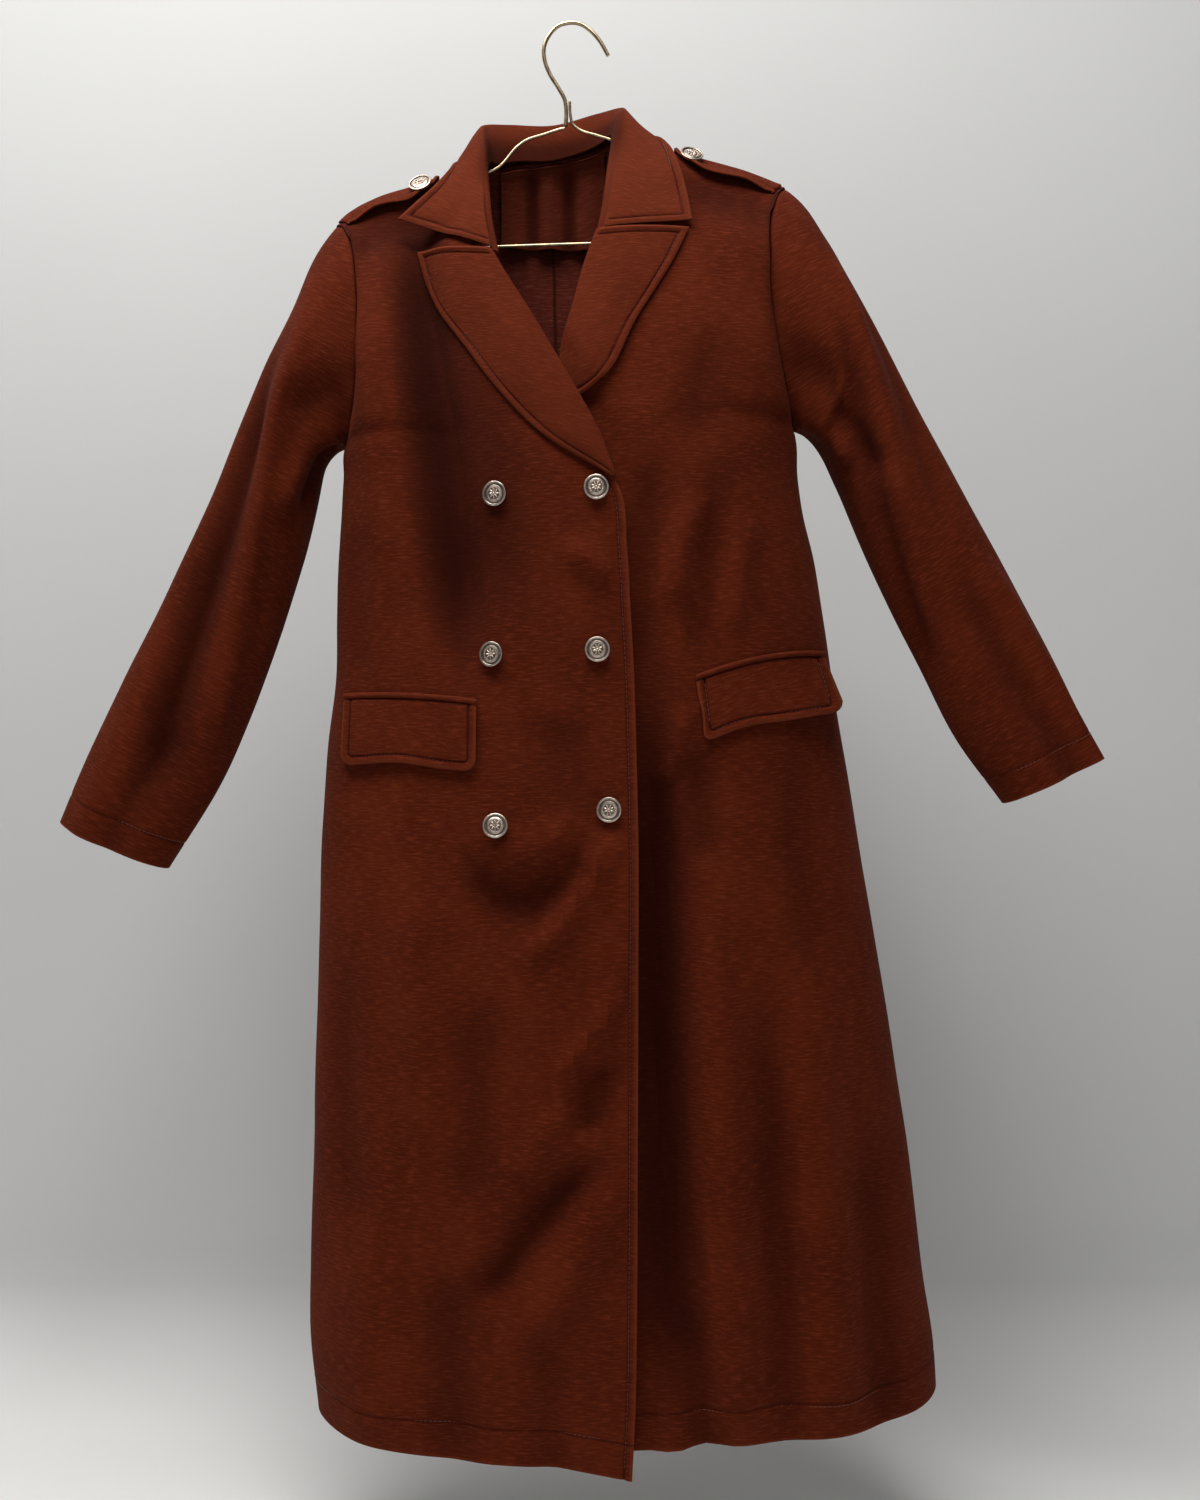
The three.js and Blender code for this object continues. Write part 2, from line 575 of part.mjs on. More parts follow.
function wall(grid, thickness, { sign, closed = false, flat = {}, lift = 0 }) {
  const rows = grid.length;
  const columns = grid[0].length;
  const normals = gridNormals(grid, closed, sign);
  const straighten = (normal, axis) => {
    if (axis) normal.setComponent('xyz'.indexOf(axis), 0).normalize();
  };
  const onRidge = (p) => Math.abs(p.y) < ON_RIDGE || flat.top !== 'y';
  normals.forEach((row, i) => row.forEach((normal, j) => {
    if (i === 0 && onRidge(grid[i][j])) straighten(normal, flat.top);
    if (i === rows - 1) straighten(normal, flat.bottom);
    if (!closed && j === 0) straighten(normal, flat.first);
    if (!closed && j === columns - 1) straighten(normal, flat.last);
  }));
  const moved = (points, by) => points.map((row, i) => (
    row.map((p, j) => p.clone().addScaledVector(normals[i][j], by))
  ));
  const outside = moved(grid, lift);
  const inside = moved(outside, -thickness);
  const positions = [...outside.flat(), ...inside.flat()].flatMap((p) => [p.x, p.y, p.z]);
  const layer = rows * columns;
  const index = [];
  const quad = (a, b, c, d) => {
    if (sign > 0) index.push(a, b, c, a, c, d);
    else index.push(a, c, b, a, d, c);
  };
  const at = (i, j) => i * columns + (j % columns);
  const spans = closed ? columns : columns - 1;
  for (let i = 0; i < rows - 1; i += 1) {
    for (let j = 0; j < spans; j += 1) {
      quad(at(i, j), at(i, j + 1), at(i + 1, j + 1), at(i + 1, j));
      quad(layer + at(i, j), layer + at(i + 1, j), layer + at(i + 1, j + 1), layer + at(i, j + 1));
    }
  }
  for (let j = 0; j < spans; j += 1) {
    quad(at(0, j), layer + at(0, j), layer + at(0, j + 1), at(0, j + 1));
    const end = rows - 1;
    quad(at(end, j), at(end, j + 1), layer + at(end, j + 1), layer + at(end, j));
  }
  if (!closed) {
    for (let i = 0; i < rows - 1; i += 1) {
      quad(at(i, 0), at(i + 1, 0), layer + at(i + 1, 0), layer + at(i, 0));
      const last = columns - 1;
      quad(at(i, last), layer + at(i, last), layer + at(i + 1, last), at(i + 1, last));
    }
  }
  const geometry = new THREE.BufferGeometry();
  geometry.setAttribute('position', new THREE.Float32BufferAttribute(positions, 3));
  geometry.setIndex(index);
  geometry.computeVertexNormals();
  return geometry;
}

const coat = new THREE.Group();

function add(name, geometry, finish) {
  const mesh = new THREE.Mesh(geometry, new THREE.MeshStandardMaterial(finish));
  mesh.name = name;
  coat.add(mesh);
  return mesh;
}

// Fronts and backs
function panelGrid(panel) {
  return [...panel.chestLevels, ...SKIRT_LEVELS].map((level) => panel.across(level, PANEL_COLUMNS));
}

function addPanel(name, panel) {
  const sign = panel.side * panel.facing;
  const flat = { top: 'y', last: 'y', first: panel.facing > 0 ? 'x' : undefined };
  add(name, wall(panelGrid(panel), CLOTH, { sign, flat }), RUST);
}

// Sleeves. The first ring is the armhole, and the rest are ovals along the arm.
function armhole(front, back) {
  const levels = front.chestLevels;
  const last = (panel, level) => {
    const p = panel.across(level, PANEL_COLUMNS)[PANEL_COLUMNS - 1];
    p.x += panel.side * GAP;
    return p;
  };
  const forward = levels.map((level) => last(front, level));
  const behind = levels.slice(1, -1).reverse().map((level) => last(back, level));
  forward[0].y = 0;
  forward[levels.length - 1].y = 0;
  return [...forward, ...behind];
}

function sleeveGrid(front, back, rows, creases) {
  const loop = armhole(front, back);
  const count = loop.length;
  const read = reader(rows, 'along');
  const rings = [loop];
  for (let k = 1; k <= SLEEVE_RINGS; k += 1) {
    const along = k / SLEEVE_RINGS;
    const row = read(along);
    const blend = Math.min(1, row.blend);
    const outer = new THREE.Vector3(row.outerX, row.forward, row.outerZ);
    const inner = new THREE.Vector3(row.innerX, row.forward, row.innerZ);
    const middle = outer.clone().add(inner).multiplyScalar(0.5);
    const half = outer.clone().sub(middle);
    rings.push(loop.map((start, i) => {
      const turn = (i / count) * 360;
      const angle = THREE.MathUtils.degToRad(turn);
      const swell = 1 + creaseHeight(creases, along, turn) / row.depth;
      const oval = middle.clone()
        .addScaledVector(half, Math.cos(angle) * swell)
        .add(new THREE.Vector3(0, -row.depth * Math.sin(angle) * swell, 0));
      return start.clone().lerp(oval, blend);
    }));
  }
  return rings;
}

function creaseHeight(creases, along, turn) {
  return creases.reduce((sum, crease) => {
    const f = (along - crease.start) / (crease.end - crease.start);
    if (f <= 0 || f >= 1) return sum;
    const off = (turn - mix(crease.first, crease.last, f)) / crease.wide;
    return sum + crease.high * Math.exp(-off * off) * ease(0, CREASE_RISEN, f) * ease(1, CREASE_FALLING, f);
  }, 0);
}

// The rings are a sleeve's outside. Its wall is made from the inside, a cloth's thickness in.
function addSleeve(name, front, back, rows, creases) {
  const grid = sleeveGrid(front, back, rows, creases);
  const inward = { sign: -front.side, lift: CLOTH };
  add(name, wall(grid, CLOTH, { ...inward, closed: true, flat: { top: 'x' } }), RUST);
}

// Collar: a stand that rises from the neck seam, a roll and a fall that lies outside it
function collarGrid() {
  const read = reader(COLLAR, 'along');
  const ends = COLLAR[COLLAR.length - 1].along;
  return series(COLLAR_STATIONS, (i) => {
    const row = read((i / (COLLAR_STATIONS - 1)) * ends);
    const base = new THREE.Vector3(row.baseX, row.baseY, row.baseZ);
    const roll = new THREE.Vector3(row.rollX, row.rollY, row.rollZ);
    const edge = new THREE.Vector3(row.edgeX, row.edgeY, row.edgeZ);
    const away = edge.clone().sub(base).normalize();
    const between = (end, { share, out }) => (
      roll.clone().lerp(end, share).addScaledVector(away, COLLAR_ROLL * out)
    );
    const inside = between(base, COLLAR_INSIDE);
    const outside = between(edge, COLLAR_OUTSIDE);
    const fall = between(edge, COLLAR_FALL);
    const path = new THREE.CatmullRomCurve3([base, inside, roll, outside, fall, edge], false, 'centripetal');
    const points = path.getPoints(COLLAR_COLUMNS - 1);
    const onRight = edge.x < NECK_X;
    points.slice(COLLAR_FIRST_FALL).filter((p) => p.z < shoulderAt(p.x)).forEach((p) => {
      if (p.y < 0) p.y = Math.min(p.y, (onRight ? frontRight : frontLeft).at(p.x, p.z).y - COLLAR_CLEAR);
      else p.y = Math.max(p.y, (onRight ? backRight : backLeft).at(p.x, p.z).y + COLLAR_CLEAR);
    });
    return points;
  });
}

// Lapels: each turns back over its front along the roll line
function lapelGrid(panel, rows) {
  const read = reader(rows, 'along');
  return series(LAPEL_ROWS, (i) => {
    const row = read(i / (LAPEL_ROWS - 1));
    const toRollX = row.rollX - row.edgeX;
    const toRollZ = row.rollZ - row.edgeZ;
    const width = Math.hypot(toRollX, toRollZ);
    const place = (run, lift) => panel.lifted(
      row.rollX + (toRollX / width) * run,
      row.rollZ + (toRollZ / width) * run,
      lift,
    );
    const bend = LAPEL_BEND.map((degrees) => {
      const angle = THREE.MathUtils.degToRad(degrees);
      return place(LAPEL_ROLL * (Math.cos(angle) - 1), LAPEL_RISE + LAPEL_ROLL * Math.sin(angle));
    });
    const leaf = series(LAPEL_LEAF_STEPS, (j) => {
      const f = (j + 1) / LAPEL_LEAF_STEPS;
      const lift = mix(LAPEL_RISE + LAPEL_ROLL, row.lie, f) + LAPEL_PUFF * Math.sin(Math.PI * f) * row.puff;
      return place(mix(-LAPEL_ROLL, -width, f), lift);
    });
    return [...bend, ...leaf];
  });
}

// Pockets: a welt strip and a flap below it, from the points of the front
function stripGrid(panel, line, below, height, lift, columns, rows) {
  return series(rows, (i) => series(columns, (j) => {
    const f = j / (columns - 1);
    const x = mix(line.startX, line.endX, f);
    const top = mix(line.startZ, line.endZ, f) + line.bow * 4 * f * (1 - f) - below;
    const g = i / (rows - 1);
    const inCorner = Math.max(0, Math.abs(f - 0.5) - CORNER_FROM) / (0.5 - CORNER_FROM);
    const corner = 1 - line.corner * inCorner ** 2;
    const end = line.flare * ease(0.5, 1, f) * g;
    return panel.lifted(x + line.slant * g, top - height * g * corner, lift(g) + end);
  }));
}

function addPocket(name, panel, line, sign) {
  const welt = { ...line, corner: SQUARE, flare: 0, slant: 0 };
  const weltTop = WELT_CLOTH + 2 * GAP;
  add(`pocket_welt_${name}`, wall(
    stripGrid(panel, welt, 0, WELT_HEIGHT, () => weltTop, FLAP_COLUMNS, 2),
    WELT_CLOTH,
    { sign },
  ), RUST);
  const flapTop = (g) => FLAP_CLOTH + GAP + FLAP_STAND * g;
  add(`pocket_flap_${name}`, wall(
    stripGrid(panel, line, WELT_HEIGHT + GAP, line.height, flapTop, FLAP_COLUMNS, FLAP_ROWS),
    FLAP_CLOTH,
    { sign },
  ), RUST);
}

// Epaulettes lie over the shoulder line, from the front's and the back's points
function epauletteGrid(front, back, strap) {
  const read = reader(strap, 'along');
  return series(EPAULETTE_STEPS, (i) => {
    const row = read(i / (EPAULETTE_STEPS - 1));
    const top = front.chestLevels[0];
    const drops = EPAULETTE_DROPS.map((drop) => top - drop * row.width);
    const place = (panel, level) => {
      const end = panel.read(level).outer - panel.side * STRAP_INSET;
      return panel.point(panel.side < 0 ? Math.max(row.x, end) : Math.min(row.x, end), level);
    };
    const forward = drops.slice(1).reverse().map((level) => place(front, level));
    const ridge = place(front, top);
    ridge.y = 0;
    const behind = drops.slice(1).map((level) => place(back, level));
    return [...forward, ridge, ...behind].map((p) => p.setZ(p.z + row.rise));
  });
}

// Buttons: domed, with a raised rim, a groove inside it and a shank below
function buttonGeometry() {
  const profile = BUTTON_PROFILE.map((row) => new THREE.Vector2(row.radius * BUTTON_RADIUS, row.height));
  return new THREE.LatheGeometry(profile, BUTTON_SIDES);
}

function addButton(name, place, direction) {
  const mesh = add(name, buttonGeometry(), NICKEL);
  mesh.position.copy(place);
  mesh.quaternion.setFromUnitVectors(new THREE.Vector3(0, 1, 0), direction);
}

// Hanger wires
function wireGeometry(points, diameter, steps) {
  const shape = new THREE.Shape();
  for (let i = 0; i < WIRE_SIDES; i += 1) {
    const angle = (i / WIRE_SIDES) * Math.PI * 2;
    const x = (Math.cos(angle) * diameter) / 2;
    const y = (Math.sin(angle) * diameter) / 2;
    if (i === 0) shape.moveTo(x, y);
    else shape.lineTo(x, y);
  }
  shape.closePath();
  const line = points.map((p) => new THREE.Vector3(p.x, p.y, p.z));
  const path = new THREE.CatmullRomCurve3(line, false, 'centripetal');
  return new THREE.ExtrudeGeometry(shape, { steps, bevelEnabled: false, extrudePath: path });
}

addPanel('front_right', frontRight);
addPanel('front_left', frontLeft);
addPanel('back_right', backRight);
addPanel('back_left', backLeft);

const facingGrid = series(FACING_ROWS, (i) => series(FACING_COLUMNS, (j) => {
  const x = mix(FACING.right, FACING.left, j / (FACING_COLUMNS - 1));
  const top = shoulderAt(x) - FACING.below;
  const z = mix(top, FACING.bottom, i / (FACING_ROWS - 1));
  const panel = x < NECK_X ? backRight : backLeft;
  return panel.lifted(x, z, -(CLOTH + FACING.clear));
}));
add('back_neck_facing', wall(facingGrid, FACING_CLOTH, { sign: 1 }), RUST);

addSleeve('sleeve_right', frontRight, backRight, SLEEVE_RIGHT, CREASES_RIGHT);
addSleeve('sleeve_left', frontLeft, backLeft, SLEEVE_LEFT, CREASES_LEFT);
add('collar', wall(collarGrid(), COLLAR_CLOTH, { sign: -1 }), RUST);
add('lapel_right', wall(lapelGrid(frontRight, LAPEL_RIGHT), LAPEL_CLOTH, { sign: 1 }), RUST);
add('lapel_left', wall(lapelGrid(frontLeft, LAPEL_LEFT), LAPEL_CLOTH, { sign: -1 }), RUST);
addPocket('right', frontRight, POCKET_RIGHT, -1);
addPocket('left', frontLeft, POCKET_LEFT, -1);
const strapLift = FLAP_CLOTH + GAP;
add('epaulette_right', wall(
  epauletteGrid(frontRight, backRight, EPAULETTE_RIGHT), FLAP_CLOTH, { sign: -1, lift: strapLift },
), RUST);
add('epaulette_left', wall(
  epauletteGrid(frontLeft, backLeft, EPAULETTE_LEFT), FLAP_CLOTH, { sign: 1, lift: strapLift },
), RUST);

BUTTONS.forEach(({ name, x, z, seat }) => {
  addButton(`button_${name}`, frontRight.lifted(x, z, seat), frontRight.outward(x, z));
});
STRAP_BUTTONS.forEach(({ name, x, drop, side, seat }) => {
  const panel = side < 0 ? frontRight : frontLeft;
  const z = shoulderAt(x) - drop;
  addButton(`button_${name}`, panel.lifted(x, z, strapLift + seat), panel.outward(x, z));
});

add('hanger_hook', wireGeometry(HOOK, WIRE, HOOK_STEPS), GOLD);
add('hanger_frame', wireGeometry(FRAME, BAR_WIRE, FRAME_STEPS), GOLD);

export default coat;
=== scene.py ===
# %% [markdown]
# A long double-breasted coat hangs on a bent-wire hanger. It is sewn from a felted wool cloth: two
# fronts, two backs, two sleeves, a collar, two lapels, pocket flaps and epaulettes. Each piece of cloth
# is made here as a fine sheet on the form of its CAD solid, and then gets its thickness, its rolled
# edges and its stitching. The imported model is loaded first, because every piece has to lie on it.

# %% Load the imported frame
import json
import math
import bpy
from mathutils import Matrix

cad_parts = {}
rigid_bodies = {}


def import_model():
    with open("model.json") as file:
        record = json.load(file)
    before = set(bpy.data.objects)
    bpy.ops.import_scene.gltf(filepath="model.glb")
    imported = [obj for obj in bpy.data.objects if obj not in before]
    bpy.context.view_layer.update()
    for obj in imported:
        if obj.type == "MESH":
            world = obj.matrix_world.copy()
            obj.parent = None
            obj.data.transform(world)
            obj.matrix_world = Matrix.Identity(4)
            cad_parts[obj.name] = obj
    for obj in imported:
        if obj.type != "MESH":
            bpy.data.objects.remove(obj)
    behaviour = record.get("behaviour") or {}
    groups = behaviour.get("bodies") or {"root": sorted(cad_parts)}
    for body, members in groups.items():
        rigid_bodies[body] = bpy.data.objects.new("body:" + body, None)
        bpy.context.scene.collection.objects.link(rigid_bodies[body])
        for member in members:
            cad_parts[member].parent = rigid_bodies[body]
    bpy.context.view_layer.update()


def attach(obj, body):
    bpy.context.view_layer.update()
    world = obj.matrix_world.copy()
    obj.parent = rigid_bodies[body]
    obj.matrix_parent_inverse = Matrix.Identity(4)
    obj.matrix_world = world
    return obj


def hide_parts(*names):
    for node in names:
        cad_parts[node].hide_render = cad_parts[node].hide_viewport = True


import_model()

from types import SimpleNamespace

import bpy
import numpy as np
from mathutils import Matrix, Vector

# %% [markdown]
# Sizes are written in millimetres, as a tailor would write them, and turned into metres when a mesh is
# made. A table has named columns, and a smooth curve runs through each column. The curve could be a
# spline object in Blender, but plain arithmetic on whole arrays is quicker and gives the same points
# every time.

# %% Tables and smooth curves
MM = 0.001


def table(columns, rows):
    """Named columns of numbers."""
    return {name: np.array([row[i] for row in rows], float) for i, name in enumerate(columns.split())}


def curve(places, values):
    """A smooth curve through the values, straight past its two ends."""
    steps = np.diff(places)
    slopes = np.diff(values) / steps
    inner = (slopes[1:] * steps[:-1] + slopes[:-1] * steps[1:]) / (steps[:-1] + steps[1:])
    tangents = np.concatenate([slopes[:1], inner, slopes[-1:]])
    way = 1 if places[-1] > places[0] else -1
    last = len(places) - 1

    def read(at):
        at = np.asarray(at, float)
        i = np.clip(np.searchsorted(places * way, at * way) - 1, 0, last - 1)
        h = places[i + 1] - places[i]
        f = (at - places[i]) / h
        g = 1 - f
        middle = values[i] * g * g * (1 + 2 * f) + values[i + 1] * f * f * (3 - 2 * f)
        middle = middle + h * (tangents[i] * f * g * g - tangents[i + 1] * f * f * g)
        before = values[0] + tangents[0] * (at - places[0])
        after = values[-1] + tangents[-1] * (at - places[-1])
        return np.where(f < 0, before, np.where(f > 1, after, middle))

    return read


def reader(rows, along):
    """All the other columns of a table, read along one of them."""
    curves = {name: curve(rows[along], column) for name, column in rows.items() if name != along}
    return lambda at: {name: read(at) for name, read in curves.items()}


def upright(row):
    """Values that go down a grid, one for each of its rows."""
    return {name: values[:, None] for name, values in row.items()}


def mix(a, b, f):
    return a + (b - a) * f


def unit(ways):
    """Ways of length 1, each kept from dividing by nothing."""
    return ways / np.maximum(np.linalg.norm(ways, axis=-1, keepdims=True), 1e-9)


def ease(low, high, value):
    """A soft step from 0 at low to 1 at high."""
    f = np.clip((value - low) / (high - low), 0, 1)
    return f * f * (3 - 2 * f)


def bell(distance, width):
    """A soft bump, 1 in its middle."""
    return np.exp(-(distance / width) ** 2)


# %% [markdown]
# The sizes of the coat come from its photograph. The shoulder line runs over the hanger, the sections
# below it are ovals, and the hem swings a little. These are nearly the same tables as in the CAD source,
# so the cloth made here lies where its solid does.

# %% Sizes of the body
ROUND = 2.5
CLOTH = 2.0
NECK_X, NECK_HALF_WIDTH, NECK_DEPTH, NECK_FADE = -20, 61, 36, 90
BACK_REACH = 1.3

SHOULDER = table("x z", [
    (-221, -190), (-210, -180), (-185, -167), (-140, -151), (-82, -132), (-50, -119),
    (-20, -114), (10, -109), (41, -105), (90, -119), (150, -137), (199, -153),
])
shoulder_at = curve(SHOULDER["x"], SHOULDER["z"])

BODY = table("level right left front back edge under seam", [
    (-431, -212, 211, 113, 100, 30, -72, -8),
    (-452, -213.5, 213.5, 114, 100, 42.5, -90, -6),
    (-507, -217.5, 225.5, 113, 99, 50, -104, 0),
    (-560, -218.5, 234, 112, 99, 53, -105, 6),
    (-614, -219.5, 242, 112, 100, 56, -106, 10),
    (-681, -227.5, 253, 113, 103, 58, -107, 13),
    (-748, -231.5, 264, 115, 106, 59.5, -107, 16),
    (-898, -236.5, 289.5, 118, 110, 59.5, -107, 26),
    (-1057, -240.5, 314, 119, 113, 59, -107, 37),
    (-1158, -243, 326, 119, 114, 58.5, -105, 42),
    (-1245, -242.5, 336, 119, 115, 57, -103, 47),
    (-1300, -236.5, 339, 118, 115, 54, -100, 51),
])

CHEST_COLUMNS = "level share inner outer edge front back peak reach seam"
CHEST_RIGHT = table(CHEST_COLUMNS, [
    (-158, 1, -86, -221, 0, 0, 0, -140, 120, -20),
    (-163, 0.98, -86, -218, 10, 13, 12, -140, 120, -20),
    (-170, 0.95, -86, -214, 18, 21, 19, -140, 120, -20),
    (-190, 0.88, -85, -206, 32, 38, 34, -140, 110, -20),
    (-215, 0.75, -84, -200, 44, 54, 48, -138, 104, -20),
    (-250, 0.55, -77, -195, 52, 70, 64, -130, 112, -19),
    (-290, 0.35, -51, -193, 56, 84, 78, -115, 130, -18),
    (-330, 0.2, -24, -194, 54, 96, 88, -92, 152, -16),
    (-370, 0.08, -2, -199, 41, 104, 95, -60, 175, -13),
    (-390, 0.03, 8, -205, 24, 107, 98, -38, 192, -11),
    (-399, 0, 13, -210, 0, 109, 99, -28, 198, -10),
])
CHEST_LEFT = table(CHEST_COLUMNS, [
    (-136, 1, 45, 199, 0, 0, 0, 110, 115, -20),
    (-141, 0.98, 45, 197, 10, 13, 12, 110, 115, -20),
    (-148, 0.95, 44, 193, 18, 21, 19, 110, 115, -20),
    (-168, 0.88, 42, 186, 32, 38, 34, 110, 110, -20),
    (-193, 0.75, 38, 182, 44, 54, 48, 106, 106, -20),
    (-228, 0.55, 30, 181, 52, 70, 64, 100, 112, -19),
    (-268, 0.35, 15, 181, 56, 84, 78, 90, 130, -18),
    (-310, 0.2, 3, 187, 54, 96, 88, 74, 152, -16),
    (-352, 0.08, -5, 196, 41, 104, 95, 50, 175, -13),
    (-373, 0.03, -8, 202, 24, 107, 98, 34, 192, -11),
    (-382, 0, -14, 206, 0, 109, 99, 26, 198, -10),
])

HEM_LEVEL, HEM_FADE = -1300, -1150
HEM_FRONT_RIGHT = table("x rise", [(-237, 11), (-190, 4), (-100, -2), (0, -6), (54, -15)])
HEM_FRONT_LEFT = table("x rise", [(-100, 0), (60, 7), (150, 15), (250, 17), (300, 22), (339, 32)])
HEM_BACK = table("x rise", [(-237, 11), (-120, 11), (50, 13), (220, 16), (339, 32)])
print("Tables for the body:", len(BODY["level"]), "sections below the armholes")

# %% [markdown]
# Cloth that hangs free falls into soft troughs and ridges. A simulation could drape it, but the coat in
# the photograph has its own folds in its own places, so each one is listed: where it starts and
# ends, how far it bows, how wide it is and how high. A negative height is a trough. The first folds of
# each list are the large ones that the solids have too, and the small ones after them are only here.

# %% Folds of the body
DOWN, ACROSS = False, True
FOLD_RISEN, FOLD_FALLING, FOLD_SIDE = 0.3, 0.75, 0.93
FOLDS_FRONT_RIGHT = [
    (-140, -650, -146, -84, -8, 21, -27, DOWN),
    (-200, -600, -116, -56, 0, 38, -12, DOWN),
    (-240, -90, -222, -186, 0, 26, -14, ACROSS),
    (-230, -560, -180, -162, 0, 20, 7, DOWN),
    (-8, 41, -499, -540, 4, 10, 7, ACROSS),
    (-10, 36, -520, -566, 4, 16, -3, ACROSS),
    (-108, 34, -768, -742, -62, 22, -12, ACROSS),
    (-90, 15, -738, -720, -40, 16, 5, ACROSS),
    (-745, -875, 42, -34, 0, 14, 10, DOWN),
    (-16, 52, -968, -882, -4, 15, 11, ACROSS),
    (-945, -1020, 34, 8, 0, 15, -10, DOWN),
    (-985, -1060, -4, -40, 0, 15, 9, DOWN),
    (-1025, -1175, 28, -82, -6, 18, -13, DOWN),
    (-1050, -1200, 40, -30, 0, 17, 11, DOWN),
    (-768, -1060, -138, -122, 0, 22, 8, DOWN),
    (-1080, -1330, -170, -178, 0, 26, 8, DOWN),
    (-1120, -1330, -110, -100, 0, 22, -8, DOWN),
    (-640, -760, -20, 20, 0, 26, -6, DOWN),
    (-470, -640, -196, -190, 0, 14, -4, DOWN),
    (-840, -1120, -206, -198, 0, 16, -5, DOWN),
    (-880, -1100, -78, -90, 0, 22, -6, DOWN),
    (-1180, -1330, -30, -10, 0, 16, -5, DOWN),
]
FOLDS_FRONT_LEFT = [
    (-560, -1300, 70, 90, 0, 27, -25, DOWN),
    (80, 230, -162, -200, 0, 26, -12, ACROSS),
    (-1150, -1330, 104, 124, 0, 16, -12, DOWN),
    (-634, -720, 106, 76, 0, 11, 7, DOWN),
    (-674, -790, 114, 120, 0, 12, -9, DOWN),
    (-770, -1330, 122, 152, -4, 18, 11, DOWN),
    (-860, -1330, 172, 196, 0, 17, -10, DOWN),
    (-880, -1330, 206, 240, 0, 22, 9, DOWN),
    (-1000, -1330, 268, 288, 0, 20, -9, DOWN),
    (-446, -570, 113, 78, 0, 14, 7, DOWN),
    (-464, -590, 157, 139, 0, 14, 6, DOWN),
    (-400, -640, 78, 56, 0, 18, -8, DOWN),
    (-420, -620, 134, 112, 0, 14, -6, DOWN),
    (-300, -420, 128, 112, 0, 20, -5, DOWN),
    (-660, -900, 196, 216, 0, 16, -5, DOWN),
]
FOLDS_BACK = [
    (-260, -620, -140, -112, 6, 20, -11, DOWN),
    (-300, -600, -176, -166, 0, 18, 6, DOWN),
    (-250, -600, 126, 130, -6, 20, -10, DOWN),
    (-420, -800, -60, -40, 0, 24, 6, DOWN),
    (-560, -1000, 96, 110, 0, 20, 7, DOWN),
    (-700, -1330, -150, -168, 0, 26, 9, DOWN),
    (-780, -1330, -92, -92, 0, 22, -11, DOWN),
    (-860, -1330, -30, -14, 0, 24, 8, DOWN),
    (-820, -1330, 118, 140, 0, 24, -11, DOWN),
    (-760, -1330, 176, 204, 0, 26, 10, DOWN),
    (-960, -1330, 236, 262, 0, 20, -9, DOWN),
    (-90, 60, -560, -590, -26, 16, -6, ACROSS),
    (-180, -40, -690, -640, -20, 15, 6, ACROSS),
]


def fold_height(folds, x, z):
    """How far the folds move the cloth out at each place."""
    total = np.zeros(np.shape(x))
    for start, end, first, last, bow, wide, high, across in folds:
        along, beside = (x, z) if across else (z, x)
        f = np.clip((along - start) / (end - start), 0, 1)
        path = mix(first, last, f) + bow * 4 * f * (1 - f)
        total = total + high * bell(beside - path, wide) * ease(0, FOLD_RISEN, f) * ease(1, FOLD_FALLING, f)
    return total


print("Folds placed by hand:", len(FOLDS_FRONT_RIGHT) + len(FOLDS_FRONT_LEFT) + len(FOLDS_BACK))

# %% [markdown]
# One function makes any of the four body panels. It gives the place on the cloth's outside for a
# distance across and a level, and everything that lies on the coat, such as a flap or a button, asks
# it for its own place and for the way out of the cloth there.

# %% A panel of the body
PROBE = 3
HEM_ROOM, HALVINGS = 60, 24


